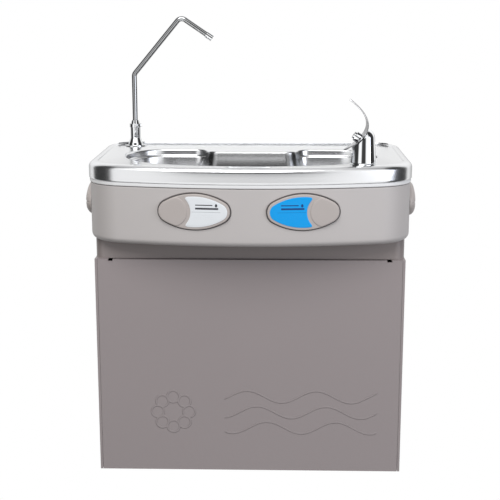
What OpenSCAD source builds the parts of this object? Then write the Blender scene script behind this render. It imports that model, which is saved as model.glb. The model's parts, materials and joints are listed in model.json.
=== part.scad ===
// Wall-hung chilled drinking fountain. Millimetres, +Z up, the wall is the plane Y = 0 and the front
// faces -Y. The origin is the centre of the four wall-bracket holes.

/* [Basin] */
// Width of the steel basin
basin_w = 460; // [440:1:480]
// Depth of the basin at its middle, from the wall gap to the bowed front
basin_d = 290; // [275:1:300]
// Radius of the bowed front edge
bow_r = 730; // [650:10:900]
// Radius of the front corners
front_corner_r = 60; // [50:1:70]
// Radius of the rear corners
rear_corner_r = 44; // [30:1:50]
// Height of the steel band round the edge
band_h = 23; // [20:0.5:28]
// Radius of the rolled top edge
roll_r = 8; // [6:0.5:10]
// Steel sheet of the basin
basin_t = 1.2; // [0.8:0.1:2]
// Drop from the rim to the deck
deck_drop = 2.5; // [1.5:0.5:4]
// Depth of the outer step of the bowl, below the deck
step_depth = 10; // [8:1:14]
// Depth of the bowl's floor, below the rim
bowl_depth = 38; // [34:1:44]

/* [Cabinet] */
// Height from the bottom of the cabinet to the rim
fountain_h = 460; // [440:5:480]
// Outer width of the cabinet
cabinet_w = 444; // [430:1:450]
// Distance from the wall to the front panel's face
cabinet_d = 239; // [230:1:245]
// Height of the rim above the middle of the wall bracket
rim_height = 290; // [280:1:300]
// Sheet metal of the cabinet
panel_t = 1.5; // [1:0.1:2]
// Height of the plastic housing, from its bottom to the rim
housing_h = 111; // [105:1:118]
// Wall of the plastic housing
housing_t = 3; // [2.5:0.25:4]
// Height of the recessed neck between housing and cabinet
neck_h = 28; // [22:1:34]

/* [Buttons] */
// Width of the oval openings
oval_w = 103; // [98:1:108]
// Height of the oval openings
oval_h = 53; // [50:1:56]
// Radius of the oval's two ends
oval_end_r = 17; // [14:0.5:20]
// Distance of the front ovals from the middle
oval_x = 75; // [70:1:80]
// Height of the ovals below the rim
oval_drop = 61; // [58:1:64]
// Distance of the side ovals from the wall
side_oval_y = 166; // [150:1:175]
// Travel of a button
button_travel = 3.5; // [2:0.5:4]

/* [Spout and bubbler] */
// Distance of the cup filler from the basin's side
spout_side = 44; // [40:1:48]
// Distance of the cup filler from the wall
spout_y = 28; // [27:0.5:32]
// Height of the spout's peak above the rim
spout_h = 200; // [180:5:220]
// Diameter of the spout's tube
spout_tube_d = 8; // [7:0.5:9]
// Reach of the spout's mouth from its swivel axis
spout_reach = 121; // [110:1:130]
// Distance of the bubbler from the basin's side
bubbler_side = 71; // [70:0.5:75]
// Distance of the bubbler from the basin's bowed front
bubbler_front = 57.5; // [55:0.5:60]
// Height of the bubbler's body
bubbler_h = 51; // [46:1:56]

/* [Wall fixing] */
// Hole spacing across the wall bracket
bolt_dx = 280; // [240:5:300]
// Hole spacing up the wall bracket
bolt_dz = 80; // [70:5:90]
// Diameter of the wall bracket's holes
bolt_hole_d = 8; // [6:0.5:10]

/* [Hidden] */
$fn = 48;
round_fn = 96;
fit_gap = 0.3;
run_gap = 0.05;
eps = 0.01;

wall_gap = 2;
basin_front = basin_d + wall_gap;
spout_x = basin_w / 2 - spout_side;
bubbler_x = basin_w / 2 - bubbler_side;
bubbler_y = basin_front - bubbler_front;
bottom_z = rim_height - fountain_h;
housing_bottom_z = rim_height - housing_h;
cabinet_top_z = housing_bottom_z - neck_h;

// The plastic frame under the steel band, and the housing under the frame.
frame_h = 5.5;
frame_inset = 1;
frame_w = 15;
housing_inset = 2;
shadow_gap = 0.8;
frame_z = rim_height - band_h - frame_h;
housing_top_z = frame_z - shadow_gap;
housing_round_r = 9;
// Rib of the housing's top shelf that meets the frame.
shelf_rib = 6;

// Plan of the deck inside the rim, which bows more than the outer edge.
deck_side = 11;
deck_rear = 6;
deck_front = 8;
deck_bow_r = 480;
deck_corner_r = 50;
deck_z = rim_height - deck_drop;

// Plan of the bowl.
bowl_half_w = basin_w / 2 - 43;
bowl_rear = wall_gap + 68;
bowl_front = basin_front - 37;
bowl_bow_r = 400;
bowl_front_r = 112;
bowl_side_l = 3;
bowl_rear_r = -corner_y(bowl_half_w, bowl_front, bowl_bow_r, bowl_front_r) - bowl_rear - bowl_side_l;
bowl_ledge = 7;
floor_z = rim_height - bowl_depth;
bow_n = 16;
corner_n = 9;
boss_n = 10;

// Raised boss at the back of the bowl.
boss_half_front = 64;
boss_half_rear = 90;
boss_front_y = bowl_rear + 28;
boss_corner_r = 16;
boss_root_r = 12;

// Drain at the bowl's lowest point.
drain_y = boss_front_y + 74;
drain_hole_r = 24;
drain_hole_clear = 4;
drain_flange_r = 32;
drain_tail_r = 16;
drain_tail_l = 30;
drain_wall = 2;
drain_flange_t = 1.5;

// Cabinet layout.
cabinet_rear_y = wall_gap;
panel_edge = 4;
panel_reveal = 0.5;
front_panel_w = cabinet_w - 2 * panel_edge;
side_inner_x = cabinet_w / 2 - panel_t;
back_face_y = cabinet_rear_y + panel_t;
neck_half_w = cabinet_w / 2 - 0.5;
neck_front = cabinet_d - 6;
neck_corner_r = 14;
base_top_z = bottom_z + 2 * panel_t;
pan_lip_h = 18;
vent_rows = 9;
vent_pitch_z = 12;
vent_pitch_y = 56;
vent_l = 44;
vent_h = 5;
flange_w = 18;

// Button pieces, drawn with the press direction along +Y from the outer face at Y = 0.
sleeve_t = 1.2;
sleeve_gap = 0.5;
sleeve_d = 17;
back_wall_t = 2;
cap_t = 4;
front_proud = 2.5;
side_proud = 10;
stem_r = 5;
snap_r = 6.4;
snap_t = 2;
label_t = 0.8;
label_pocket = 0.5;
label_margin = 3.5;
switch_w = 20;
switch_h = 10;
switch_d = 7;
plunger_r = 1.6;
plunger_l = 1.5;
groove_d = 2.2;
groove_w = 5;

// ---------- helpers ----------

function unit(v) = v / norm(v);

// Corner centre and tangent angle of a bowed plan.
function bow_y(front, bow) = bow - front;
function corner_y(half_w, front, bow, rf) = bow_y(front, bow) - sqrt(pow(bow - rf, 2) - pow(half_w - rf, 2));
function bow_angle(half_w, bow, rf) = asin((half_w - rf) / (bow - rf));

function arc(cx, cy, r, a0, a1, n) =
  [for (i = [0:n]) let (a = a0 + (a1 - a0) * i / n) [cx + r * cos(a), cy + r * sin(a)]];

// Places across the back edge that line up with the points of the boss in the bowl.
function boss_places(from, to) = [for (i = [0:boss_n]) from + (to - from) * i / boss_n];

// Plan outline, anticlockwise from the left end of the bowed front: bow, right side, back, left side.
// half_w: half width, front and rear: distances from the wall, bow: front radius, rf and rr: corner radii.
// back: the points between the rear corners, from +X to -X.
function plan_points(half_w, front, rear, bow, rf, rr, back) =
  let (yb = bow_y(front, bow), yf = corner_y(half_w, front, bow, rf), a = bow_angle(half_w, bow, rf))
  concat(
    arc(0, yb, bow, -90 - a, -90 + a, bow_n),
    skip_first(arc(half_w - rf, yf, rf, a - 90, 0, corner_n)),
    arc(half_w - rr, -rear - rr, rr, 0, 90, corner_n),
    back,
    arc(rr - half_w, -rear - rr, rr, 90, 180, corner_n),
    skip_last(arc(rf - half_w, yf, rf, 180, 270 - a, corner_n))
  );

function skip_first(v) = [for (i = [1:len(v) - 1]) v[i]];
function skip_last(v) = [for (i = [0:len(v) - 2]) v[i]];
function mirrored(v) = [for (i = [len(v) - 1:-1:0]) [-v[i][0], v[i][1]]];
function straight_back(rear) =
  let (right = [for (x = boss_places(boss_half_rear, boss_half_front - boss_corner_r)) [x, -rear]])
  concat(right, [[0, -rear]], mirrored(right));

// Outlines of the basin, its deck and its bowl, each moved inwards by t.
function basin_points(t) = plan_points(basin_w / 2 - t, basin_front - t, wall_gap + t, bow_r - t,
                                       front_corner_r - t, rear_corner_r - t, straight_back(wall_gap + t));
function deck_points(t) = plan_points(basin_w / 2 - deck_side - t, basin_front - deck_front - t,
                                      wall_gap + deck_rear + t, deck_bow_r - t, deck_corner_r - t,
                                      rear_corner_r - deck_side - t, straight_back(wall_gap + deck_rear + t));
function bowl_points(t) = plan_points(bowl_half_w - t, bowl_front - t, bowl_rear + t, bowl_bow_r - t,
                                      bowl_front_r - t, bowl_rear_r - t, boss_points(t));

// The boss stands into the bowl: a concave fillet at its root and a convex corner at its front.
function boss_points(t) =
  let (
    root_x = boss_half_front + boss_root_r,
    nose_x = boss_half_front - boss_corner_r,
    root = arc(root_x, -bowl_rear - boss_root_r, boss_root_r - t, 90, 180, boss_n / 2 - 1),
    nose = arc(nose_x, boss_corner_r - boss_front_y, boss_corner_r + t, 0, -90, boss_n / 2)
  )
  concat(root, nose, [[0, -boss_front_y - t]], mirrored(concat(root, nose)));

// Circle round the drain whose points lie in line with the bowl's.
function drain_points(r) =
  [for (p = bowl_points(bowl_ledge)) let (d = p - [0, -drain_y]) [0, -drain_y] + r * unit(d)];

function at_height(points, z) = [for (p = points) [p[0], p[1], z]];

// Closed ring of sheet or wall: each entry is an outline in 3D, and the last joins the first.
module loft(rings) {
  n = len(rings[0]);
  m = len(rings);
  polyhedron(
    points = [for (ring = rings, p = ring) p],
    faces = [for (i = [0:m - 1], j = [0:n - 1])
      let (k = (i + 1) % m, l = (j + 1) % n)
      each [[i * n + j, i * n + l, k * n + l], [i * n + j, k * n + l, k * n + j]]]
  );
}

// Round bar along points, with bends of one radius.
module pipe(points, r, bend) {
  n = len(points);
  dirs = [for (i = [0:n - 2]) unit(points[i + 1] - points[i])];
  turns = [for (i = [1:n - 2]) acos(dirs[i - 1] * dirs[i])];
  cuts = [for (i = [0:n - 1]) (i == 0 || i == n - 1) ? 0 : bend * tan(turns[i - 1] / 2)];
  for (i = [0:n - 2]) rod(points[i] + dirs[i] * cuts[i], points[i + 1] - dirs[i] * cuts[i + 1], r);
  for (i = [1:n - 2]) {
    a = dirs[i - 1];
    b = dirs[i];
    side = unit(b - a * (a * b));
    up = cross(a, side);
    c = points[i] - a * cuts[i] + side * bend;
    multmatrix([
      [-side[0], a[0], up[0], c[0]],
      [-side[1], a[1], up[1], c[1]],
      [-side[2], a[2], up[2], c[2]],
      [0, 0, 0, 1]
    ]) rotate_extrude(angle = turns[i - 1]) translate([bend, 0]) circle(r);
  }
}

module rod(from, to, r) {
  d = to - from;
  l = norm(d);
  translate(from) rotate([0, acos(d[2] / l), atan2(d[1], d[0])]) cylinder(r = r, h = l);
}

// Places and directions along a path in one plane, with its corners rounded to one radius.
function bent_path(points, bend, steps) =
  let (n = len(points), dirs = [for (i = [0:n - 2]) unit(points[i + 1] - points[i])])
  concat(
    [[points[0], dirs[0]]],
    [for (i = [1:n - 2])
      let (
        a = dirs[i - 1],
        turn = acos(a * dirs[i]),
        side = unit(dirs[i] - a * (a * dirs[i])),
        c = points[i] - a * bend * tan(turn / 2) + side * bend
      )
      each [for (k = [0:steps]) let (w = turn * k / steps)
        [c - side * bend * cos(w) + a * bend * sin(w), a * cos(w) + side * sin(w)]]],
    [[points[n - 1], dirs[n - 2]]]
  );

// Hollow tube along a path in the plane whose normal is given, as one sheet out and back.
module bent_tube(points, bend, r, ri, normal, sides, steps) {
  path = bent_path(points, bend, steps);
  m = len(path);
  loft(concat(
    [for (q = path) tube_ring(q, r, normal, sides)],
    [for (i = [m - 1:-1:0]) tube_ring(path[i], ri, normal, sides)]
  ));
}

function tube_ring(q, r, normal, sides) =
  let (across = cross(normal, q[1]))
  [for (k = [0:sides - 1]) let (a = 360 * k / sides) q[0] + r * (cos(a) * across - sin(a) * normal)];

// Box between two corners.
module block(low, high) {
  translate(low) cube(high - low);
}

// Hollow tube standing on Z.
module tube(ro, ri, h) {
  difference() {
    cylinder(r = ro, h = h);
    translate([0, 0, -1]) cylinder(r = ri, h = h + 2);
  }
}

// Four-arc oval, moved inwards by t.
module oval(t) {
  c = oval_w / 2 - oval_end_r;
  e = oval_h / 2 - oval_end_r;
  k = (c * c - e * e) / (2 * e);
  big = oval_h / 2 + k;
  tx = (big - t) * c / (big - oval_end_r);
  for (s = [-1, 1]) translate([s * c, 0]) circle(oval_end_r - t, $fn = round_fn);
  intersection() {
    translate([0, -k]) circle(big - t, $fn = round_fn * 2);
    translate([0, k]) circle(big - t, $fn = round_fn * 2);
    square([2 * tx, oval_h], center = true);
  }
}

// Oval solid whose axis is Y: from depth y0 to y1 behind the outer face.
module oval_block(t, y0, y1) {
  translate([0, y1, 0]) rotate([90, 0, 0]) linear_extrude(y1 - y0) oval(t);
}

module y_cylinder(r, y0, y1) {
  translate([0, y1, 0]) rotate([90, 0, 0]) cylinder(r = r, h = y1 - y0);
}

// Places of the four ovals: the front ones lie square to the bowed front.
bow_centre_y = bow_y(basin_front, bow_r);
housing_bow_r = bow_r - housing_inset;
oval_turn = asin(oval_x / housing_bow_r);
oval_z = rim_height - oval_drop;
// A flat oval sits half of the bow's rise behind the middle of the bow.
oval_seat = 0.9;

module at_front_oval(side) {
  translate([0, bow_centre_y, oval_z]) rotate([0, 0, side * oval_turn])
    translate([0, -housing_bow_r + oval_seat, 0]) children();
}

module at_side_oval(side) {
  translate([side * (basin_w / 2 - housing_inset), -side_oval_y, oval_z])
    rotate([0, 0, side * 90]) children();
}

// ---------- basin ----------

module basin() {
  color("gainsboro") difference() {
    loft(basin_rings());
    translate([-spout_x, -spout_y, deck_z - 5]) cylinder(r = spout_thread_r + fit_gap, h = 10);
    translate([bubbler_x, -bubbler_y, deck_z - 5]) cylinder(r = bubbler_thread_r + fit_gap, h = 10);
  }
}

// One pressed sheet: skirt, rolled edge, rim, deck, stepped bowl, and the underside back again.
function basin_rings() =
  let (
    t = basin_t,
    z = rim_height,
    step_z = deck_z - step_depth,
    soft = 4
  )
  concat(
    [at_height(basin_points(0), z - band_h)],
    [for (a = [0:22.5:90]) at_height(basin_points(roll_r * (1 - cos(a))), z - roll_r * (1 - sin(a)))],
    [
      at_height(deck_points(0), z),
      at_height(deck_points(deck_drop / 2), deck_z),
      at_height(bowl_points(0), deck_z),
      at_height(bowl_points(2), step_z),
      at_height(bowl_points(bowl_ledge), step_z - 1),
      at_height(bowl_points(bowl_ledge + 1), floor_z + soft),
      at_height(bowl_points(bowl_ledge + soft), floor_z),
      at_height(drain_points(drain_hole_r + drain_hole_clear), floor_z),
      at_height(drain_points(drain_hole_r + drain_hole_clear), floor_z - t),
      at_height(bowl_points(bowl_ledge + soft - t), floor_z - t),
      at_height(bowl_points(bowl_ledge + 1 - t), floor_z + soft - t),
      at_height(bowl_points(bowl_ledge - t), step_z - 1 - t),
      at_height(bowl_points(2 - t), step_z - t),
      at_height(bowl_points(-t), deck_z - t),
      at_height(deck_points(deck_drop / 2 - t), deck_z - t),
      at_height(deck_points(-t), z - t)
    ],
    [for (a = [90:-30:0])
      at_height(basin_points(roll_r - (roll_r - t) * cos(a)), z - roll_r + (roll_r - t) * sin(a))],
    [at_height(basin_points(t), z - band_h)]
  );

// Plastic frame between steel band and housing; its upstand keeps the basin from sliding.
module basin_frame() {
  top = frame_z + frame_h;
  rib = basin_t + fit_gap;
  color("lightgray") loft([
    at_height(basin_points(frame_inset), frame_z), at_height(basin_points(frame_inset), top),
    at_height(basin_points(rib), top), at_height(basin_points(rib), top + 8),
    at_height(basin_points(rib + 2.5), top + 8), at_height(basin_points(rib + 2.5), top),
    at_height(basin_points(frame_w), top), at_height(basin_points(frame_w), frame_z)
  ]);
}

// ---------- upper housing ----------

latch_x = 95;
latch_w = 27;
latch_d = 7;
latch_back = 26;
// The hole's front is nearly straight.
flat_bow_r = 3000;
hole_corner_r = 8;

// Hole in the housing's floor, over the neck's flange.
function neck_hole_points() =
  plan_points(neck_half_w - flange_w, neck_front - flange_w, cabinet_rear_y + flange_w,
              flat_bow_r, hole_corner_r, hole_corner_r, straight_back(cabinet_rear_y + flange_w));

function housing_rings() =
  let (
    o = housing_inset,
    i = housing_inset + housing_t,
    r = housing_round_r,
    inner_r = r - housing_t,
    low = housing_bottom_z,
    top = housing_top_z
  )
  concat(
    [at_height(basin_points(o), top)],
    [for (a = [0:22.5:90]) at_height(basin_points(o + r * (1 - cos(a))), low + r * (1 - sin(a)))],
    [at_height(neck_hole_points(), low), at_height(neck_hole_points(), low + housing_t)],
    [for (a = [90:-30:0])
      at_height(basin_points(o + r - inner_r * cos(a)), low + r - inner_r * sin(a))],
    [
      at_height(basin_points(i), top - housing_t), at_height(basin_points(frame_w), top - housing_t),
      at_height(basin_points(frame_w), frame_z), at_height(basin_points(frame_w - shelf_rib), frame_z),
      at_height(basin_points(frame_w - shelf_rib), top)
    ]
  );

module upper_housing() {
  color("silver") difference() {
    loft(housing_rings());
    for (s = [-1, 1]) {
      at_front_oval(s) oval_block(0, -8, 12);
      at_side_oval(s) oval_block(0, -4, 6);
      // Finger slots in the underside where the housing unlatches from the neck.
      translate([s * latch_x - latch_w / 2, -basin_front + latch_back, housing_bottom_z - 1])
        cube([latch_w, latch_d, housing_t + 2]);
    }
  }
}

// ---------- neck and cabinet ----------

module neck_plan(t) {
  half_w = neck_half_w - t;
  front = neck_front - t;
  rear = cabinet_rear_y + t;
  r = neck_corner_r;
  square_w = half_w - r;
  translate([-half_w, r - front]) square([2 * half_w, front - r - rear]);
  translate([-square_w, -front]) square([2 * square_w, front - rear]);
  for (s = [-1, 1]) translate([s * square_w, r - front]) circle(r, $fn = round_fn);
}

// Painted collar on top of the cabinet that carries the plastic housing.
module neck_frame() {
  color("dimgray") {
    translate([0, 0, cabinet_top_z]) linear_extrude(neck_h) difference() {
      neck_plan(0);
      neck_plan(panel_t);
    }
    for (z = [cabinet_top_z, housing_bottom_z - panel_t])
      translate([0, 0, z]) linear_extrude(panel_t) difference() {
        neck_plan(0);
        neck_plan(flange_w);
      }
  }
}

// One side panel, on the +X side: sheet, folded front edge, flanges at the front, rear and top, vents.
module side_panel() {
  x1 = cabinet_w / 2;
  top = cabinet_top_z;
  inner = side_inner_x - flange_w;
  low = base_top_z + pan_lip_h + 2;
  difference() {
    union() {
      block([side_inner_x, -cabinet_d + panel_t, bottom_z], [x1, -cabinet_rear_y, top]);
      block([x1 - panel_edge + panel_reveal, -cabinet_d, bottom_z], [x1, -cabinet_d + panel_t + eps, top]);
      block([inner, -cabinet_d + panel_t, low], [side_inner_x + eps, -cabinet_d + 2 * panel_t, top]);
      block([inner, -back_face_y - panel_t, low], [side_inner_x + eps, -back_face_y, top]);
      block([inner, -cabinet_d + panel_t, top - panel_t], [side_inner_x + eps, -back_face_y, top]);
    }
    for (row = [0:vent_rows - 1], col = [-1, 1]) {
      y = -fan_y + col * vent_pitch_y / 2 - vent_l / 2;
      z = fan_z + (row - (vent_rows - 1) / 2) * vent_pitch_z;
      translate([side_inner_x - 1, y, z]) cube([panel_t + 2, vent_l, vent_h]);
    }
    for (y = side_screw_y)
      translate([side_inner_x - 1, y, side_screw_z]) rotate([0, 90, 0])
        cylinder(r = screw_r + run_gap, h = panel_t + 2);
  }
}

module right_side_panel() {
  color("rosybrown") side_panel();
}

module left_side_panel() {
  color("rosybrown") mirror([1, 0, 0]) side_panel();
}

notch_x = 200;
notch_w = 8;
notch_h = 2.5;
panel_top_gap = 0.5;
fold_d = 14;

module front_panel() {
  top = cabinet_top_z - panel_top_gap;
  fold = front_panel_w / 2 - 22;
  color("gray") difference() {
    union() {
      block([-front_panel_w / 2, -cabinet_d, bottom_z], [front_panel_w / 2, -cabinet_d + panel_t, top]);
      for (z = [bottom_z, top - panel_t])
        block([-fold, -cabinet_d, z], [fold, -cabinet_d + fold_d, z + panel_t]);
    }
    for (s = [-1, 1])
      translate([s * notch_x - notch_w / 2, -cabinet_d - 1, top - notch_h])
        cube([notch_w, panel_t + 2, notch_h + 1]);
    for (x = panel_screw_x)
      translate([x, panel_screw_y, bottom_z - 1]) cylinder(r = screw_r + run_gap, h = panel_t + 2);
  }
}

module base_pan() {
  x1 = side_inner_x;
  y0 = -cabinet_d + panel_t;
  lip_z = base_top_z + pan_lip_h;
  color("darkgray") difference() {
    union() {
      block([-x1, y0, bottom_z + panel_t], [x1, -back_face_y, base_top_z]);
      for (s = [-1, 1]) block([s > 0 ? x1 - panel_t : -x1, y0 + 2, bottom_z + panel_t],
                              [s > 0 ? x1 : panel_t - x1, -back_face_y - 2, lip_z]);
      block([-x1 + 4, -back_face_y - panel_t, bottom_z + panel_t], [x1 - 4, -back_face_y, lip_z]);
    }
    for (x = panel_screw_x)
      translate([x, panel_screw_y, bottom_z]) cylinder(r = screw_r + run_gap, h = 10);
    for (s = [-1, 1], y = side_screw_y)
      translate([s * (x1 - 4), y, side_screw_z]) rotate([0, s * 90, 0])
        cylinder(r = screw_r + run_gap, h = 8);
    for (x = mount_x, y = mount_y)
      translate([comp_x + x, -comp_y + y, bottom_z]) cylinder(r = mount_bolt_r + run_gap, h = 10);
    translate([inlet_x, -inlet_y, bottom_z]) cylinder(r = inlet_shank_r + run_gap, h = 10);
    translate([outlet_x, -outlet_y, bottom_z]) cylinder(r = outlet_shank_r + run_gap, h = 10);
    translate([gland_x, -gland_y, bottom_z]) cylinder(r = gland_r + run_gap, h = 10);
  }
}

module back_panel() {
  x1 = side_inner_x;
  color("darkgray") difference() {
    block([-x1, -back_face_y, bottom_z], [x1, -cabinet_rear_y, cabinet_top_z]);
    // Windows over the bracket's screws and slots for its two hooks.
    for (x = [-1, 1], z = [-1, 1])
      translate([x * bolt_dx / 2, -back_face_y - 1, z * bolt_dz / 2]) rotate([-90, 0, 0])
        cylinder(r = bolt_hole_d / 2 + 6, h = panel_t + 2);
    for (s = [-1, 1])
      translate([s * hook_x - hook_w / 2 - 1, -back_face_y - 1, hook_z - fit_gap])
        cube([hook_w + 2, panel_t + 2, panel_t + wall_gap + 2 * fit_gap]);
  }
}

hook_x = 60;
hook_w = 40;
hook_z = 22;
hook_lip = 12;
bracket_w = bolt_dx + 40;
bracket_h = bolt_dz + 40;

// Plate on the wall with two upturned hooks that carry the cabinet's back.
module wall_bracket() {
  color("silver") difference() {
    union() {
      block([-bracket_w / 2, -wall_gap, -bracket_h / 2], [bracket_w / 2, 0, bracket_h / 2]);
      for (s = [-1, 1]) {
        x = s * hook_x - hook_w / 2;
        y = -back_face_y - fit_gap;
        block([x, y - wall_gap, hook_z], [x + hook_w, -wall_gap + eps, hook_z + wall_gap]);
        block([x, y - wall_gap, hook_z], [x + hook_w, y, hook_z + hook_lip]);
      }
    }
    for (x = [-1, 1], z = [-1, 1])
      translate([x * bolt_dx / 2, 1, z * bolt_dz / 2]) rotate([90, 0, 0])
        cylinder(d = bolt_hole_d, h = wall_gap + 2);
  }
}

screw_r = 2;
screw_head_r = 4;
screw_head_t = 2;
screw_l = 8;
panel_screw_x = [-150, 0, 150];
panel_screw_y = -cabinet_d + 9;
side_screw_y = [-200, -40];
side_screw_z = base_top_z + 10;

module screw() {
  cylinder(r = screw_r, h = screw_l);
  translate([0, 0, -screw_head_t]) cylinder(r = screw_head_r, h = screw_head_t);
}

// Pan-head screws of the front and side panels. Identical screws share the node.
module panel_screws() {
  color("silver") {
    for (x = panel_screw_x) translate([x, panel_screw_y, bottom_z]) screw();
    for (s = [-1, 1], y = side_screw_y)
      translate([s * cabinet_w / 2, y, side_screw_z]) rotate([0, -s * 90, 0]) screw();
  }
}

// ---------- drain ----------

strainer_t = 1.2;

module drain_strainer() {
  color("silver") translate([0, -drain_y, floor_z + drain_flange_t]) difference() {
    cylinder(r = drain_hole_r - 1, h = strainer_t);
    for (ring = [1:3], i = [0:6 * ring - 1]) rotate([0, 0, i * 60 / ring])
      translate([ring * 6.2, 0, -1]) cylinder(r = 1.6, h = strainer_t + 2);
    translate([0, 0, -1]) cylinder(r = 1.6, h = strainer_t + 2);
  }
}

// Flanged cup through the bowl's floor, with a threaded tail.
module drain_body() {
  z0 = floor_z - basin_t;
  color("silver") translate([0, -drain_y, 0]) {
    translate([0, 0, floor_z]) tube(drain_flange_r, drain_hole_r - 2, drain_flange_t);
    translate([0, 0, z0 - 10]) tube(drain_hole_r - run_gap, drain_hole_r - 2, 10 + basin_t + drain_flange_t);
    translate([0, 0, z0 - 12]) tube(drain_hole_r - run_gap, drain_tail_r - drain_wall, 2);
    translate([0, 0, z0 - 12 - drain_tail_l]) tube(drain_tail_r, drain_tail_r - drain_wall, drain_tail_l);
  }
}

module drain_nut() {
  color("dimgray") translate([0, -drain_y, floor_z - basin_t - 6]) difference() {
    cylinder(r = drain_flange_r, h = 6, $fn = 8);
    translate([0, 0, -1]) cylinder(r = drain_hole_r + run_gap, h = 8);
  }
}

hose_r = 11;
hose_wall = 2;
outlet_x = 0;
outlet_y = 40;
outlet_r = 10;
outlet_shank_r = 9.3;
hose_bend = 30;
drain_tail_z = floor_z - basin_t - 12 - drain_tail_l;

module drain_hose() {
  mid_z = bottom_z + 90;
  route = [
    [0, -drain_y, drain_tail_z - 2], [0, -drain_y, mid_z], [outlet_x, -outlet_y, mid_z - 40],
    [outlet_x, -outlet_y, base_top_z + 10]
  ];
  color("lightgray") {
    bent_tube(route, hose_bend, hose_r, hose_r - hose_wall, [1, 0, 0], 16, 5);
    // Cuff over the drain's tail.
    translate([0, -drain_y, drain_tail_z - 2.5]) difference() {
      cylinder(r = drain_tail_r + run_gap + hose_wall, h = 16.5);
      translate([0, 0, 2.5]) cylinder(r = drain_tail_r + run_gap, h = 20);
      translate([0, 0, -1]) cylinder(r = hose_r - hose_wall, h = 10);
    }
  }
}

// Straight outlet through the base, for the building's waste pipe.
module drain_outlet() {
  color("dimgray") translate([outlet_x, -outlet_y, 0]) difference() {
    union() {
      translate([0, 0, bottom_z - outlet_l]) cylinder(r = outlet_r, h = outlet_l);
      translate([0, 0, bottom_z - 1]) cylinder(r = outlet_shank_r, h = 2 * panel_t + 11);
      translate([0, 0, base_top_z]) cylinder(r = outlet_r + 6, h = 3);
    }
    translate([0, 0, bottom_z - outlet_l - 1]) cylinder(r = outlet_r - 2.5, h = outlet_l + 60);
  }
}

outlet_l = 20;

// ---------- cup filler ----------

spout_thread_r = 6;
spout_flange_r = 17.5;
spout_body_r = 8;
collar_r = 9;
spout_shank_l = 28;

module at_spout() {
  translate([-spout_x, -spout_y, deck_z]) children();
}

// Flange, stepped cone and body on the deck, with the threaded shank through it.
module spout_base() {
  color("silver") at_spout() difference() {
    union() {
      cylinder(r = spout_flange_r, h = 1.6);
      translate([0, 0, 1.6 - eps]) cylinder(r1 = 12, r2 = 11, h = 4);
      translate([0, 0, 5.6 - eps]) cylinder(r1 = 10.4, r2 = spout_body_r, h = 7.2);
      translate([0, 0, 12]) cylinder(r = spout_body_r, h = 17);
      translate([0, 0, -spout_shank_l]) cylinder(r = spout_thread_r, h = spout_shank_l + 2);
    }
    translate([0, 0, -spout_shank_l - 1]) cylinder(r = 2.5, h = 40);
    translate([0, 0, 8]) cylinder(r = spout_tube_d / 2 + run_gap, h = 30);
  }
}

// Swivel collar, clamped on the tube and turning on the base.
module spout_collar() {
  color("silver") at_spout() translate([0, 0, 29 + fit_gap]) difference() {
    union() {
      cylinder(r = collar_r, h = 5.5);
      translate([0, 0, 5.5 - eps]) cylinder(r1 = 7, r2 = 5.6, h = 5.5);
      translate([0, 0, 2.7]) rotate([0, 90, 0]) cylinder(r = 2, h = collar_r + 1.5);
    }
    translate([0, 0, -1]) cylinder(r = spout_tube_d / 2, h = 20);
  }
}

spout_rise = 112;
spout_lean = 40;
spout_fall = 34;
spout_bend = 9;
nozzle_l = 11;
nozzle_r = 5;

// Corner points of the gooseneck, in the plane parallel to the wall.
spout_peak_x = (spout_h - spout_rise) * tan(spout_lean);
spout_tip_h = spout_h - (spout_reach - spout_peak_x) * tan(spout_fall);
spout_route = [[0, 0, 9], [0, 0, spout_rise], [spout_peak_x, 0, spout_h], [spout_reach, 0, spout_tip_h]];

module spout_tube() {
  r = spout_tube_d / 2;
  color("silver") at_spout() bent_tube(spout_route, spout_bend, r, r - 1.2, [0, 1, 0], 20, 6);
}

module spout_nozzle() {
  route = spout_route;
  d = unit(route[3] - route[2]);
  from = route[3] - d * (nozzle_l - 2);
  color("silver") at_spout() difference() {
    rod(from, route[3] + d * 2, nozzle_r);
    rod(from - d, route[3], spout_tube_d / 2);
    rod(from, route[3] + d * 3, spout_tube_d / 2 - 1);
  }
}

module deck_nut(hole_r) {
  translate([0, 0, -basin_t - 6]) difference() {
    cylinder(r = hole_r * 2, h = 6, $fn = 6);
    translate([0, 0, -1]) cylinder(r = hole_r + run_gap, h = 8);
  }
}

module spout_nut() {
  color("goldenrod") at_spout() deck_nut(spout_thread_r);
}

// ---------- bubbler ----------

bubbler_thread_r = 8;
bubbler_ring_r = 18.6;
bubbler_foot_r = 18;
bubbler_top_r = 15.5;
bubbler_shank_l = 30;
guard_r = 36;
guard_t = 2.4;
guard_centre_x = -32.6;
guard_centre_z = 55;
guard_half_w = 19;

module at_bubbler() {
  translate([bubbler_x, -bubbler_y, deck_z]) children();
}

module bubbler_base() {
  color("silver") at_bubbler() difference() {
    cylinder(r = bubbler_ring_r, h = 1.6);
    translate([0, 0, -1]) cylinder(r = bubbler_thread_r + run_gap, h = 5);
  }
}

// Tapered column cut off by the guard's curve, with its threaded shank.
module bubbler_body() {
  color("silver") at_bubbler() difference() {
    union() {
      translate([0, 0, 1.6]) cylinder(r1 = bubbler_foot_r, r2 = bubbler_top_r, h = bubbler_h - 1.6);
      translate([0, 0, -bubbler_shank_l]) cylinder(r = bubbler_thread_r, h = bubbler_shank_l + 2);
    }
    translate([guard_centre_x, 40, guard_centre_z]) rotate([90, 0, 0])
      cylinder(r = guard_r, h = 80, $fn = round_fn);
    translate([0, 0, -bubbler_shank_l - 1]) cylinder(r = 3, h = 50);
  }
}

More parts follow.
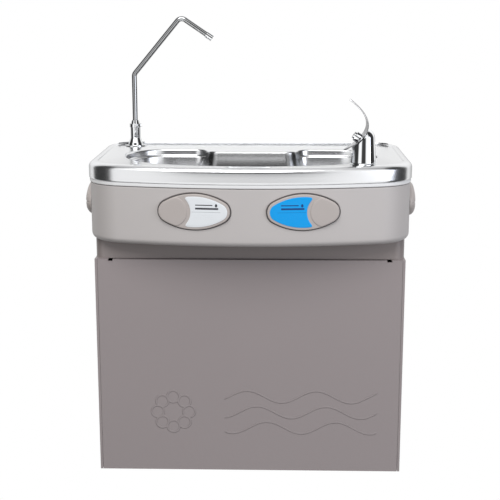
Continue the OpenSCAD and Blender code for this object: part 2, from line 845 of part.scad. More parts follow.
// Curved leaf that shields the mouth of the bubbler.
module mouth_guard() {
  color("silver") at_bubbler() intersection() {
    translate([guard_centre_x, 0, guard_centre_z]) rotate([90, 0, 0]) difference() {
      cylinder(r = guard_r - fit_gap / 10, h = 60, center = true, $fn = round_fn);
      cylinder(r = guard_r - guard_t, h = 62, center = true, $fn = round_fn);
    }
    // Leaf outline, seen from the mouth's side.
    translate([guard_centre_x, 0, guard_centre_z]) rotate([0, 90, 0]) guard_outline();
  }
}

module guard_outline() {
  half_l = guard_r - 0.4;
  r = (half_l * half_l + guard_half_w * guard_half_w) / (2 * guard_half_w);
  linear_extrude(80) intersection() {
    translate([0, r - guard_half_w]) circle(r, $fn = round_fn);
    translate([0, guard_half_w - r]) circle(r, $fn = round_fn);
  }
}

// Water nozzle, seated in the guard's curve and aimed up and to the middle of the basin.
module bubbler_nozzle() {
  a = 35;
  from = [guard_centre_x, 0, guard_centre_z] + (guard_r - guard_t) * [cos(a), 0, -sin(a)];
  aim = [-cos(a), 0, sin(a)];
  color("silver") at_bubbler() difference() {
    union() {
      rod(from, from + aim * 8, 7);
      rod(from + aim * 7.9, from + aim * 11, 5);
    }
    rod(from + aim * 3, from + aim * 20, 1.8);
    translate([guard_centre_x, 0, guard_centre_z]) rotate([90, 0, 0]) difference() {
      cylinder(r = guard_r + 10, h = 60, center = true, $fn = round_fn);
      cylinder(r = guard_r - guard_t - 0.05, h = 62, center = true, $fn = round_fn);
    }
  }
}

module bubbler_nut() {
  color("goldenrod") at_bubbler() deck_nut(bubbler_thread_r);
}

// ---------- buttons ----------

cap_inset = sleeve_t + sleeve_gap;
stem_end = sleeve_d + fit_gap;
switch_y = stem_end + snap_t + button_travel + fit_gap + plunger_l;
pad_r = 20.6;
pad_x = -30;
side_dome_r = 48;

// Oval sleeve in the housing's opening, with the stem's guide and two arms for the switch.
module bezel(flange_y) {
  color("dimgray") {
    difference() {
      union() {
        oval_block(run_gap, 0, sleeve_d);
        oval_block(-bezel_flange, flange_y, flange_y + 1.5);
      }
      oval_block(sleeve_t, -1, sleeve_d - back_wall_t);
      y_cylinder(stem_r + run_gap, 0, sleeve_d + 1);
    }
    for (s = [-1, 1]) block([s > 0 ? switch_w / 2 : -switch_w / 2 - 2, sleeve_d - eps, -switch_h / 2],
                            [s > 0 ? switch_w / 2 + 2 : -switch_w / 2, switch_y + switch_d, switch_h / 2]);
  }
}

bezel_flange = 3;
front_flange_y = 4;
side_flange_y = housing_t + 1;

module stem() {
  y_cylinder(stem_r, 0, stem_end + eps);
  y_cylinder(snap_r, stem_end, stem_end + snap_t);
}

// Pad outline; the pad is at the outer end, which is -X before mirroring.
module pad_plan(grow) {
  translate([pad_x, 0]) circle(pad_r + grow, $fn = round_fn);
}

module label_plan(t) {
  difference() {
    oval(cap_inset + label_margin + t);
    pad_plan(label_margin + t);
    translate([-oval_w, -oval_h]) square([oval_w - 38, 2 * oval_h]);
  }
}

module front_button(side) {
  color("silver") difference() {
    union() {
      oval_block(cap_inset, -front_proud, cap_t);
      stem();
    }
    translate([0, -front_proud + label_pocket, 0]) rotate([90, 0, 0]) linear_extrude(5)
      mirror([side > 0 ? 1 : 0, 0]) label_plan(-0.1);
  }
}

module label(side, tint) {
  color(tint) translate([0, -front_proud + label_pocket, 0]) rotate([90, 0, 0]) linear_extrude(label_t)
    mirror([side > 0 ? 1 : 0, 0]) label_plan(0);
}

// Domed side button with a groove across its middle.
module side_button() {
  color("silver") {
    difference() {
      intersection() {
        oval_block(cap_inset, -side_proud, cap_t);
        translate([0, side_dome_r - side_proud, 0]) rotate([0, 90, 0])
          cylinder(r = side_dome_r, h = oval_w, center = true, $fn = round_fn * 2);
      }
      translate([-oval_w / 2, 0, 0]) rotate([90, 0, 90]) linear_extrude(oval_w)
        polygon([[-side_proud - 1, -groove_w / 2 - 1], [-side_proud - 1, groove_w / 2 + 1],
                 [groove_d - side_proud, 0]]);
    }
    stem();
  }
}

module front_left_button() { at_front_oval(-1) front_button(-1); }
module front_right_button() { at_front_oval(1) front_button(1); }
module left_side_button() { at_side_oval(-1) side_button(); }
module right_side_button() { at_side_oval(1) side_button(); }
module ambient_label() { at_front_oval(-1) label(-1, "white"); }
module chilled_label() { at_front_oval(1) label(1, "deepskyblue"); }
module front_left_bezel() { at_front_oval(-1) bezel(front_flange_y); }
module front_right_bezel() { at_front_oval(1) bezel(front_flange_y); }
module left_side_bezel() { at_side_oval(-1) bezel(side_flange_y); }
module right_side_bezel() { at_side_oval(1) bezel(side_flange_y); }

module button_switch() {
  block([-switch_w / 2, switch_y, -switch_h / 2], [switch_w / 2, switch_y + switch_d, switch_h / 2]);
  y_cylinder(plunger_r, switch_y - plunger_l, switch_y + 1);
}

module button_switches() {
  color("black") for (s = [-1, 1]) {
    at_front_oval(s) button_switch();
    at_side_oval(s) button_switch();
  }
}

// ---------- condenser and fan places ----------

cond_side = 15.5;
cond_x0 = cond_side - side_inner_x;
cond_w = 34;
cond_y0 = 50;
cond_l = 140;
cond_foot = 17;
cond_z0 = base_top_z + cond_foot;
cond_h = 128;
cond_tube_r = 4;
fin_n = 16;
fin_t = 1;
fan_x = cond_x0 + cond_w + 7;
fan_y = cond_y0 + cond_l / 2;
fan_z = cond_z0 + cond_h / 2;
fan_r = 50;
fan_bore_r = 2.5;
motor_x = fan_x + 28;
motor_r = 20;

// ---------- chiller ----------

chill_w = 170;
chill_side = 20.5;
chill_x = chill_side + chill_w / 2 - side_inner_x;
chill_y = 115;
shelf_rim = 4;
shelf_clear = 29;
shelf_z = cond_z0 + cond_h + shelf_clear;
chill_d = 160;
chill_h = 130;
foam_floor = 12;
foam_top = 14;
cavity_r = 62;
tank_r = 49;
coil_r = 4;
coil_turns = 7;
coil_pitch = 12;
tank_z = shelf_z + panel_t + foam_floor;
tank_h = chill_h - foam_floor - foam_top - 4;
coil_z = tank_z + 12;
suction_z = coil_z + coil_pitch;
capillary_z = coil_z + (coil_turns - 1) * coil_pitch;
capillary_y = 95;
line_r = 3;
water_r = 4;
tank_port = 20;

module chiller_shelf() {
  x0 = chill_x - chill_w / 2 - shelf_rim;
  x1 = chill_x + chill_w / 2 + shelf_rim;
  y0 = -chill_y - chill_d / 2 - shelf_rim;
  flange_x = flange_w + fit_gap - side_inner_x;
  color("darkgray") {
    block([x0, y0, shelf_z], [x1, -back_face_y, shelf_z + panel_t]);
    block([flange_x, -back_face_y - panel_t, shelf_z - 20], [x1, -back_face_y, shelf_z + eps]);
    block([x0, y0, shelf_z], [x1, y0 + panel_t, shelf_z + 8]);
    block([-side_inner_x, -chill_y - 40, shelf_z], [x0 + eps, -chill_y + 40, shelf_z + panel_t]);
  }
}

module foam_half(side) {
  z0 = shelf_z + panel_t;
  x0 = chill_x - chill_w / 2;
  y0 = -chill_y - (side > 0 ? 0 : chill_d / 2);
  hole_r = line_r + fit_gap;
  difference() {
    block([x0, y0, z0], [x0 + chill_w, y0 + chill_d / 2, z0 + chill_h]);
    translate([chill_x, -chill_y, tank_z])
      cylinder(r = cavity_r, h = chill_h - foam_floor - foam_top, $fn = round_fn);
    for (s = [-1, 1]) translate([chill_x + s * tank_port, -chill_y, tank_z + tank_h / 2])
      cylinder(r = water_r + fit_gap, h = chill_h);
    translate([chill_x, -chill_y, suction_z]) rotate([0, 90, 0]) cylinder(r = hole_r, h = chill_w);
    translate([chill_x + cavity_r / 2, -capillary_y, capillary_z]) rotate([0, 90, 0])
      cylinder(r = hole_r, h = chill_w);
  }
}

module insulation_front() {
  color("khaki") foam_half(-1);
}

module insulation_back() {
  color("khaki") foam_half(1);
}

module chiller_tank() {
  color("silver") translate([chill_x, -chill_y, tank_z]) cylinder(r = tank_r, h = tank_h, $fn = round_fn);
}

module evaporator_coil() {
  r = tank_r + coil_r;
  color("peru") translate([chill_x, -chill_y, coil_z]) {
    for (i = [0:coil_turns - 1]) translate([0, 0, i * coil_pitch])
      rotate_extrude($fn = round_fn) translate([r, 0]) circle(coil_r, $fn = 24);
    rotate([0, 0, 200]) translate([r + 1, 0, 0]) cylinder(r = line_r, h = (coil_turns - 1) * coil_pitch);
  }
}

// ---------- refrigeration ----------

comp_x = 90;
comp_y = 125;
comp_r = 56;
comp_h = 112;
comp_z = base_top_z + 9;
comp_top_z = comp_z + comp_h;
foot_w = 120;
foot_t = 3;
mount_x = [-52, 52];
mount_y = [-52, 52];
mount_bolt_r = 3;

module compressor() {
  dome = 22;
  color("black") translate([comp_x, -comp_y, comp_z]) {
    rotate_extrude($fn = round_fn) {
      square([comp_r, comp_h - dome]);
      square([comp_r - dome, comp_h]);
      translate([comp_r - dome, comp_h - dome]) intersection() {
        circle(dome, $fn = round_fn);
        square(dome);
      }
    }
    translate([0, 0, comp_h * 0.52]) cylinder(r = comp_r + 2.5, h = 4, $fn = round_fn);
    difference() {
      translate([-foot_w / 2, -foot_w / 2, 0]) cube([foot_w, foot_w, foot_t]);
      for (x = mount_x, y = mount_y) translate([x, y, -1]) cylinder(r = mount_bolt_r + 1, h = foot_t + 2);
    }
  }
}

// Rubber grommets under the compressor's feet, each with its bolt.
module compressor_mounts() {
  color("dimgray") for (x = mount_x, y = mount_y) translate([comp_x + x, -comp_y + y, 0]) {
    translate([0, 0, base_top_z]) tube(7.5, mount_bolt_r, comp_z - base_top_z);
    translate([0, 0, base_top_z - panel_t])
      cylinder(r = mount_bolt_r, h = comp_z - base_top_z + foot_t + panel_t + 4);
    translate([0, 0, comp_z + foot_t]) cylinder(r = 6, h = 3);
  }
}

module condenser() {
  pitch = (cond_l - fin_t) / (fin_n - 1);
  y0 = -cond_y0 - cond_l;
  top = cond_z0 + cond_h;
  foot = 12;
  rail = 7;
  color("peru") {
    for (i = [0:fin_n - 1])
      translate([cond_x0, y0 + i * pitch, cond_z0]) cube([cond_w, fin_t, cond_h]);
    for (row = [0:3], col = [0:1])
      translate([cond_x0 + cond_w * (0.28 + 0.44 * col), cond_tube_r - cond_y0,
                 cond_z0 + cond_h * (0.14 + 0.24 * row)])
        rotate([90, 0, 0]) cylinder(r = cond_tube_r, h = cond_l + 2 * cond_tube_r);
    // Folded feet that stand on the base, and the top rail that the pipes meet.
    for (y = [y0, -cond_y0 - foot])
      block([cond_x0, y, base_top_z], [cond_x0 + cond_w, y + foot, cond_z0 + 2]);
    block([cond_x0 + rail, y0, top - rail], [cond_x0 + cond_w - rail, -cond_y0, top]);
  }
}

// Plate with the air ring, standing on the base, and the arms that hold the motor.
module fan_shroud() {
  ring_r = fan_r + 3;
  ring_t = 3;
  plate_x = fan_x - 4;
  arm_h = 10;
  arm_x = motor_x + 10;
  color("dimgray") {
    difference() {
      union() {
        block([plate_x, -cond_y0 - cond_l, base_top_z], [plate_x + 2, -cond_y0, cond_z0 + cond_h]);
        translate([plate_x, -fan_y, fan_z]) rotate([0, 90, 0])
          cylinder(r = ring_r + ring_t, h = 18, $fn = round_fn);
      }
      translate([plate_x - 2, -fan_y, fan_z]) rotate([0, 90, 0])
        cylinder(r = ring_r, h = 30, $fn = round_fn);
    }
    // Each arm runs back from the ring and in to the motor.
    translate([0, -fan_y, fan_z - arm_h / 2]) for (a = [0, 180]) mirror([0, a / 180, 0]) {
      translate([fan_x + 10, ring_r, 0]) cube([arm_x - fan_x - 10, ring_t, arm_h]);
      translate([arm_x - 2, motor_r, 0]) cube([2, ring_r + ring_t - motor_r, arm_h]);
    }
  }
}

module fan_motor() {
  color("silver") translate([motor_x, -fan_y, fan_z]) rotate([0, 90, 0]) {
    cylinder(r = motor_r, h = 30);
    translate([0, 0, -24]) cylinder(r = fan_bore_r, h = 26);
  }
}

module fan_blade() {
  color("black") translate([fan_x, -fan_y, fan_z]) rotate([0, 90, 0]) difference() {
    union() {
      translate([0, 0, 5]) cylinder(r = 13, h = 12);
      for (i = [0:4]) rotate([0, 0, i * 72]) intersection() {
        translate([8, 0, 11]) rotate([32, 0, 0]) translate([0, -16, -1]) cube([fan_r, 32, 2]);
        cylinder(r = fan_r, h = 24);
      }
    }
    translate([0, 0, -1]) cylinder(r = fan_bore_r + run_gap, h = 30);
  }
}

drier_z = cond_z0 + cond_h + 16;
drier_y = 80;
drier_x = cond_x0 + 55;
drier_l = 60;
drier_r = 8;
hot_z = cond_z0 + cond_h + 10;
hot_y = 140;
capillary_x = -12;

module refrigerant_pipes() {
  cond_x = cond_x0 + cond_w / 2;
  cond_top = cond_z0 + cond_h;
  coil_outer_r = tank_r + 2 * coil_r;
  hot_x = comp_x - 15;
  suction_x = comp_x + 15;
  entry_off = max(0, abs(chill_y - capillary_y) - line_r);
  entry_x = chill_x + sqrt(pow(coil_outer_r, 2) - pow(entry_off, 2));
  color("peru") {
    pipe([[hot_x, -hot_y, comp_top_z], [hot_x, -hot_y, hot_z], [cond_x, -hot_y, hot_z],
          [cond_x, -hot_y, cond_top]], line_r, 8);
    pipe([[suction_x, -chill_y, comp_top_z], [suction_x, -chill_y, suction_z],
          [chill_x + coil_outer_r, -chill_y, suction_z]], line_r, 10);
    pipe([[cond_x, -drier_y, cond_top], [cond_x, -drier_y, drier_z], [drier_x, -drier_y, drier_z]],
         line_r, 8);
    pipe([[drier_x + drier_l, -drier_y, drier_z], [capillary_x, -drier_y, drier_z],
          [capillary_x, -drier_y, drier_z + 26], [capillary_x, -capillary_y, drier_z + 46],
          [capillary_x, -capillary_y, capillary_z], [entry_x, -capillary_y, capillary_z]], line_r, 8);
  }
}

module filter_drier() {
  color("goldenrod") translate([drier_x, -drier_y, drier_z]) rotate([0, 90, 0]) {
    cylinder(r1 = line_r + 1, r2 = drier_r, h = 8);
    translate([0, 0, 8]) cylinder(r = drier_r, h = drier_l - 16);
    translate([0, 0, drier_l - 8]) cylinder(r1 = drier_r, r2 = line_r + 1, h = 8);
  }
}

// ---------- electrics ----------

box_x = 118;
box_w = 66;
box_d = 50;
box_h = 58;
box_z = comp_top_z + 46;
box_t = 2;
knob_shaft_r = 3;
thermo_w = 44;
thermo_d = 24;
thermo_h = 40;
thermo_z = box_z + 8;
knob_r = 14;
knob_l = 14;

module terminal_box() {
  low = [box_x - box_w / 2, -back_face_y - box_d, box_z];
  size = [box_w, box_d, box_h];
  wall = box_t * [1, 1, 1];
  color("darkslategray") difference() {
    block(low, low + size);
    block(low + wall, low + size - wall);
  }
}

module thermostat() {
  y1 = -back_face_y - box_d;
  z = thermo_z + thermo_h / 2;
  color("whitesmoke") {
    block([box_x - thermo_w / 2, y1 - thermo_d, thermo_z], [box_x + thermo_w / 2, y1, thermo_z + thermo_h]);
    translate([box_x, y1 - thermo_d + eps, z]) rotate([90, 0, 0]) cylinder(r = knob_shaft_r, h = 10);
  }
}

module thermostat_knob() {
  y1 = -back_face_y - box_d - thermo_d;
  color("black") translate([box_x, y1 - fit_gap, thermo_z + thermo_h / 2]) rotate([90, 0, 0]) difference() {
    union() {
      cylinder(r = knob_r, h = knob_l);
      translate([-1.5, 0, knob_l - 1]) cube([3, knob_r, 3]);
    }
    translate([0, 0, -1]) cylinder(r = knob_shaft_r + run_gap, h = 11.5);
  }
}

gland_x = 145;
gland_y = 30;
gland_r = 8;
gland_bore_r = 4;

module cable_gland() {
  color("black") translate([gland_x, -gland_y, 0]) difference() {
    union() {
      translate([0, 0, bottom_z - 10]) cylinder(r = gland_r - 1, h = 12);
      translate([0, 0, bottom_z + panel_t - 5]) cylinder(r = 11, h = 5, $fn = 6);
      translate([0, 0, bottom_z]) cylinder(r = gland_r, h = 14);
      translate([0, 0, base_top_z]) cylinder(r = 11, h = 5, $fn = 6);
    }
    translate([0, 0, bottom_z - 11]) cylinder(r = gland_bore_r, h = 40);
  }
}

// ---------- water ----------

inlet_y = 40;
inlet_r = 10.48;
inlet_shank_r = 9.6;
inlet_l = 14;
filter_side = 33.5;
filter_x = side_inner_x - filter_side;
inlet_x = filter_x - 2;
filter_y = 150;
filter_r = 26;
filter_z = base_top_z + 35;
filter_h = 172;
filter_neck_r = 13;
head_z = filter_z + filter_h + fit_gap;
head_w = 52;
head_h = 34;
port_z = head_z + 24;
valve_x = [60, 110];
valve_w = 30;
valve_d = 28;
valve_h = 25;
valve_z = port_z + water_r;
valve_mid_y = 18;

module water_inlet() {
  color("goldenrod") translate([inlet_x, -inlet_y, 0]) difference() {
    union() {
      translate([0, 0, bottom_z - inlet_l]) cylinder(r = inlet_r, h = inlet_l);
      translate([0, 0, bottom_z - 1]) cylinder(r = inlet_shank_r, h = 23);
      translate([0, 0, base_top_z]) cylinder(r = 15, h = 6, $fn = 6);
    }
    translate([0, 0, bottom_z - inlet_l - 1]) cylinder(r = 6, h = inlet_l + 40);
  }
}

// Filter head on the right side panel; the cartridge's neck turns in its socket.
module filter_head() {
  arm_w = 30;
  color("whitesmoke") difference() {
    translate([filter_x, -filter_y, head_z]) {
      translate([-head_w / 2, -head_w / 2, 0]) cube([head_w, head_w, head_h]);
      translate([head_w / 2 - eps, -arm_w / 2, 8]) cube([filter_side - head_w / 2 + eps, arm_w, head_h - 12]);
    }
    translate([filter_x, -filter_y, head_z - 1]) cylinder(r = filter_neck_r + run_gap, h = 19);
  }
}

module filter_cartridge() {
  color("royalblue") translate([filter_x, -filter_y, filter_z]) {
    rotate_extrude($fn = round_fn) {
      square([filter_r, filter_h - 10]);
      square([filter_r - 10, filter_h]);
      translate([filter_r - 10, filter_h - 10]) intersection() {
        circle(10);
        square(10);
      }
    }
    translate([0, 0, filter_h - eps]) cylinder(r = filter_neck_r, h = 17);
    // Grip ribs at the bottom for the quarter turn.
    for (i = [0:7]) rotate([0, 0, i * 45]) translate([filter_r - 1, -2, 0]) cube([2.5, 4, 30]);
  }
}

// Two alike valves: ambient water on the left, chilled water on the right.
module solenoid_valves() {
  color("whitesmoke") for (x = valve_x) {
    translate([x - valve_w / 2, -back_face_y - valve_d, valve_z]) cube([valve_w, valve_d, valve_h]);
    translate([x, -valve_mid_y, valve_z + valve_h - eps]) cylinder(r = 5, h = 34);
    translate([x, -valve_mid_y, valve_z + valve_h]) tube(12, 5 - eps, 26);
  }
}

module supply_tubes() {
  y_out = 12 - filter_y;
  x_run = 140;
  color("white") {
    pipe([[inlet_x, -inlet_y, base_top_z + 18], [inlet_x, -inlet_y, port_z],
          [inlet_x, -filter_y + head_w / 2, port_z]], water_r, 12);
    pipe([[filter_x - head_w / 2, y_out, port_z], [x_run, y_out, port_z],
          [x_run, -valve_mid_y, port_z], [valve_x[0] - 10, -valve_mid_y, port_z]], water_r, 10);
  }
}

module outlet_tubes() {
  y_face = back_face_y + valve_d;
  y_run = y_face + 18;
  z_port = valve_z + valve_h / 2;
  z_ambient = housing_bottom_z + 30;
  z_cold = cabinet_top_z + 18;
  z_bubbler = housing_bottom_z + 14;
  tank_top = tank_z + tank_h;
  x_in = chill_x + tank_port;
  x_out = chill_x - tank_port;
  color("white") {
    // Ambient valve to the cup filler.
    pipe([[valve_x[0], -y_face, z_port], [valve_x[0], -y_run, z_port], [valve_x[0], -y_run, z_ambient],
          [-spout_x, -y_run, z_ambient], [-spout_x, -spout_y, z_ambient],
          [-spout_x, -spout_y, deck_z - spout_shank_l]], water_r, 8);
    // Chilled valve to the tank, and the tank to the bubbler.
    pipe([[valve_x[1], -y_face, z_port], [valve_x[1], -y_run, z_port], [valve_x[1], -y_run, z_cold],
          [valve_x[1], -chill_y, z_cold], [x_in, -chill_y, z_cold], [x_in, -chill_y, tank_top]],
         water_r, 8);
    pipe([[x_out, -chill_y, tank_top], [x_out, -chill_y, z_bubbler],
          [bubbler_x, -chill_y, z_bubbler], [bubbler_x, -bubbler_y, z_bubbler],
          [bubbler_x, -bubbler_y, deck_z - bubbler_shank_l]], water_r, 12);
  }
}

// ---------- nodes ----------

wall_bracket();
back_panel();
base_pan();
left_side_panel();
right_side_panel();
front_panel();
neck_frame();
upper_housing();
basin_frame();
basin();
drain_strainer();
drain_body();
drain_nut();
drain_hose();
drain_outlet();
spout_base();
spout_collar();
spout_tube();
spout_nozzle();
spout_nut();
bubbler_base();
bubbler_body();
mouth_guard();
bubbler_nozzle();
bubbler_nut();
front_left_button();
front_right_button();
left_side_button();
right_side_button();
ambient_label();
chilled_label();
front_left_bezel();
front_right_bezel();
left_side_bezel();
right_side_bezel();
button_switches();
chiller_shelf();
insulation_front();
insulation_back();
chiller_tank();
evaporator_coil();
compressor();
compressor_mounts();
condenser();
fan_shroud();
fan_motor();
fan_blade();
refrigerant_pipes();
filter_drier();
thermostat();
thermostat_knob();
terminal_box();
cable_gland();
water_inlet();
filter_head();
filter_cartridge();
solenoid_valves();
supply_tubes();
outlet_tubes();
panel_screws();
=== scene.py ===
# %% [markdown]
# # A wall-hung chilled drinking fountain
#
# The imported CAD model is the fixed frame: it says where each piece is and how it moves. This lesson
# gives every piece its look. Visible skins are made again as fine surfaces worked out with numpy, and
# the pieces that already have the right shape keep it and get a finish made of shader nodes.
# All lengths are in metres: X runs to the right, Y towards the wall and Z up.

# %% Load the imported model
import json
import math

import bmesh
import bpy
import numpy as np
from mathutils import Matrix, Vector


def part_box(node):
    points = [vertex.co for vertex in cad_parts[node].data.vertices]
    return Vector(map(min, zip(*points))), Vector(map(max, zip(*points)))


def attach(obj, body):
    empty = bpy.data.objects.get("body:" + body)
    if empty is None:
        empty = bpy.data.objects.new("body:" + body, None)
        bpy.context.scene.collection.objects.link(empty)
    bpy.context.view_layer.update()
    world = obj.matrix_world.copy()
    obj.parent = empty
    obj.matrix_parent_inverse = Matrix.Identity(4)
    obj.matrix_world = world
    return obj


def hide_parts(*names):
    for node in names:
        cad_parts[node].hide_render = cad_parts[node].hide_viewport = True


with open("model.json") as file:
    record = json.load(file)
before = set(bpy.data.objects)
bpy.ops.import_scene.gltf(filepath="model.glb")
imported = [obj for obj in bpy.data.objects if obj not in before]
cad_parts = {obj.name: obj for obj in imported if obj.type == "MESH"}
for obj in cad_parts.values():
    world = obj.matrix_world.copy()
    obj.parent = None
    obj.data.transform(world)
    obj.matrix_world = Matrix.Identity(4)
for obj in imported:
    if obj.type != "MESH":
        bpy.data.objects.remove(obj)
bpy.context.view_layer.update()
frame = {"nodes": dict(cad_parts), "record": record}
NODES = frame["nodes"]
MM = 0.001

# %% [markdown]
# ## From points to a piece
#
# Sheet metal and mouldings could be drawn by hand from cubes and loop cuts, but their sizes then live
# only in the mesh. Here a surface is a grid of points worked out with numpy: rows run one way over it
# and columns the other. The quads between them follow from the numbering alone, so a whole mesh is a
# few array operations, and where a shape closes on itself the last column meets the first.

# %% Grids of quads
def grid_quads(rows, cols, wrap_rows=False):
    """Quads of a grid of points numbered row by row: r * cols + c, its right neighbour, and the row above.

    The last column always meets the first one; the last row meets the first one if wrap_rows is true.
    """
    r, c = np.meshgrid(np.arange(rows - (not wrap_rows)), np.arange(cols), indexing="ij")
    up, right = (r + 1) % rows, (c + 1) % cols
    corners = [r * cols + c, r * cols + right, up * cols + right, up * cols + c]
    return np.stack(corners, -1).reshape(-1, 4)


def skin(points, wrap_rows=False):
    """A grid of points of shape (rows, cols, 3) as (points, quads)."""
    rows, cols = points.shape[:2]
    return points.reshape(-1, 3), grid_quads(rows, cols, wrap_rows)


# %% Sheets with a thickness
def grid_normals(points):
    """Unit normals: the cross product of the steps along the columns and along the rows."""
    along = np.roll(points, -1, 1) - np.roll(points, 1, 1)
    across = np.gradient(points, axis=0)
    n = np.cross(along, across)
    return n / np.maximum(np.linalg.norm(n, axis=-1, keepdims=True), 1e-12)


def shell(points, thickness):
    """A sheet with a back: the rows run out over the face and return at face - thickness x normal."""
    back = points - thickness * grid_normals(points)
    return skin(np.concatenate([points, back[::-1]]), wrap_rows=True)


# %% [markdown]
# ## From a mesh to a piece that moves
#
# Points that fall together, as at a pole, are welded, and then the faces are turned outwards. The
# mesh is shaded smooth, with sharp edges where two faces meet at a steep angle, which is quicker than
# bevelling every edge. The piece then rides on a body of the CAD model and may stand for a CAD node.

# %% One Blender object
WELD_DISTANCE = 2e-6


def build(name, parts, finish, body, replaces, sharp=35.0, weld=True):
    """One object out of several (points, quads) parts; edges steeper than sharp degrees stay hard."""
    counts = np.cumsum([0] + [len(p) for p, _ in parts])
    points = np.concatenate([p for p, _ in parts])
    quads = np.concatenate([q + n for (_, q), n in zip(parts, counts)])
    mesh = bpy.data.meshes.new(name)
    mesh.from_pydata(points.tolist(), [], quads.tolist())
    bm = bmesh.new()
    bm.from_mesh(mesh)
    if weld:
        bmesh.ops.remove_doubles(bm, verts=bm.verts, dist=WELD_DISTANCE)
        bmesh.ops.dissolve_degenerate(bm, edges=bm.edges, dist=1e-7)
    bmesh.ops.recalc_face_normals(bm, faces=bm.faces)
    bm.to_mesh(mesh)
    bm.free()
    mesh.shade_smooth()
    mesh.set_sharp_from_angle(angle=math.radians(sharp))
    piece = bpy.data.objects.new(name, mesh)
    bpy.context.scene.collection.objects.link(piece)
    mesh.materials.append(finish)
    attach(piece, body)
    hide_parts(*replaces)
    print(f"{name}: {len(mesh.polygons)} faces on {body}")
    return piece


# %% [markdown]
# ## Shader maths in Python
#
# A finish is mostly small sums on noise values, and its nodes could be added and linked one by one.
# The class below wraps a node's output instead, so that an ordinary expression, such as
# `0.3 + 0.1 * grain`, adds the Math nodes for it and can be read like a formula. Every other node
# comes from one method that sets the node's settings first and then its sockets.

# %% Values that add Math nodes
class Value:
    """A node output in Python arithmetic: each operator adds one Math node."""

    def __init__(self, finish, socket):
        self.finish = finish
        self.socket = socket

    def math(self, operation, *others):
        """A Math node with this value first and the others after it."""
        sockets = {i: v for i, v in enumerate((self, *others))}
        return self.finish.node("ShaderNodeMath", {"operation": operation}, sockets)

    def __add__(self, other):
        return self.math("ADD", other)

    __radd__ = __add__

    def __mul__(self, other):
        return self.math("MULTIPLY", other)

    __rmul__ = __mul__

    def __sub__(self, other):
        return self.math("SUBTRACT", other)

    def __rsub__(self, other):
        return (self * -1.0) + other

    def __truediv__(self, other):
        return self.math("DIVIDE", other)

    def step(self, low, high):
        """Smooth step from 0 at low to 1 at high."""
        n = {0: self, 1: low, 2: high}
        return self.finish.node("ShaderNodeMapRange", {"interpolation_type": "SMOOTHSTEP"}, n)


def between(value, low, high, soft):
    """1 where the value lies between low and high, with edges that wide on each side."""
    return value.step(low - soft, low + soft) * (1 - value.step(high - soft, high + soft))


# %% A finish and its nodes
# Outputs of Texture Coordinate.
UV, OBJECT = 2, 3


class Finish:
    """A Principled material. Uniform values sit on the shader's own sockets, links only where they vary."""

    def __init__(self, name, color, roughness, metallic=0.0, **sockets):
        self.material = bpy.data.materials.new(name)
        self.material.use_nodes = True
        self.nodes = self.material.node_tree.nodes
        self.links = self.material.node_tree.links
        self.shader = self.nodes["Principled BSDF"]
        self.color = tuple(color)
        self.set("Base Color", (*color, 1.0))
        self.set("Roughness", roughness)
        self.set("Metallic", metallic)
        for key, value in sockets.items():
            self.set(key.replace("_", " "), value)

    def set(self, name, value):
        """Puts a number, a colour or a node's output on one of the shader's sockets."""
        self.put(self.shader.inputs[name], value)

    def put(self, socket, value):
        """Links a node's output to a socket, or stores a plain value there."""
        if isinstance(value, Value):
            self.links.new(value.socket, socket)
        else:
            socket.default_value = value

    def node(self, kind, settings=None, sockets=None, output=0):
        """Adds a node: its settings first, then the values or links of its sockets."""
        n = self.nodes.new(kind)
        for key, value in (settings or {}).items():
            setattr(n, key, value)
        for key, value in (sockets or {}).items():
            self.put(n.inputs[key], value)
        return Value(self, n.outputs[output])

    def axes(self, output):
        """One output of Texture Coordinate, split into its x, y and z values."""
        coordinate = self.node("ShaderNodeTexCoord", output=output)
        split = self.node("ShaderNodeSeparateXYZ", None, {0: coordinate})
        return [Value(self, part) for part in split.socket.node.outputs]

    def place(self, scale=(1, 1, 1)):
        """Object coordinates in metres, each axis times its scale."""
        coordinate = self.node("ShaderNodeTexCoord", output=OBJECT)
        return self.node("ShaderNodeMapping", None, {"Vector": coordinate, "Scale": scale})

    def noise(self, scale, detail=2.0, stretch=(1, 1, 1)):
        """Noise with that many cells to the metre; a factor below 1 draws it out along its axis."""
        sockets = {"Vector": self.place(stretch), "Scale": scale, "Detail": detail}
        return self.node("ShaderNodeTexNoise", None, sockets)

    def cells(self, scale):
        """Distance to the nearest of scattered points, that many of them to the metre."""
        return self.node("ShaderNodeTexVoronoi", None, {"Vector": self.place(), "Scale": scale})

    def mix(self, factor, a, b):
        """Colour a where factor is 0 and colour b where it is 1."""
        a, b = [v if isinstance(v, Value) else (*v, 1.0) for v in (a, b)]
        return self.node("ShaderNodeMix", {"data_type": "RGBA"}, {0: factor, 6: a, 7: b}, output=2)

    def shade(self, factor, dark, light):
        """The finish's own colour times a number that goes from dark to light."""
        low = [c * dark for c in self.color]
        high = [min(c * light, 1.0) for c in self.color]
        shaded = self.mix(factor, low, high)
        self.set("Base Color", shaded)
        return shaded

    def bump(self, height, distance, strength=1.0):
        """Relief of that depth in metres from a height between 0 and 1."""
        sockets = {"Height": height, "Distance": distance, "Strength": strength}
        self.set("Normal", self.node("ShaderNodeBump", None, sockets))


# %% [markdown]
# ## Metal finishes
#
# Metal is told by its reflections. The basin is pressed stainless with a soft grain along the sheet,
# and the filler and the bubbler are chromed, nearly mirrors with faint water marks. A flat texture
# would need a UV map on every piece, so the grain is noise on the object's own coordinates: stretched
# along one axis it gives drawing lines, and a slow noise clouds the polish. Colours are linear values.

# %% Colours
def srgb(*v):
    """Linear colour from 0-255 display values: ((c + 0.055) / 1.055) ^ 2.4 above the small linear part."""
    c = np.array(v) / 255.0
    return tuple(np.where(c <= 0.04045, c / 12.92, ((c + 0.055) / 1.055) ** 2.4).tolist())


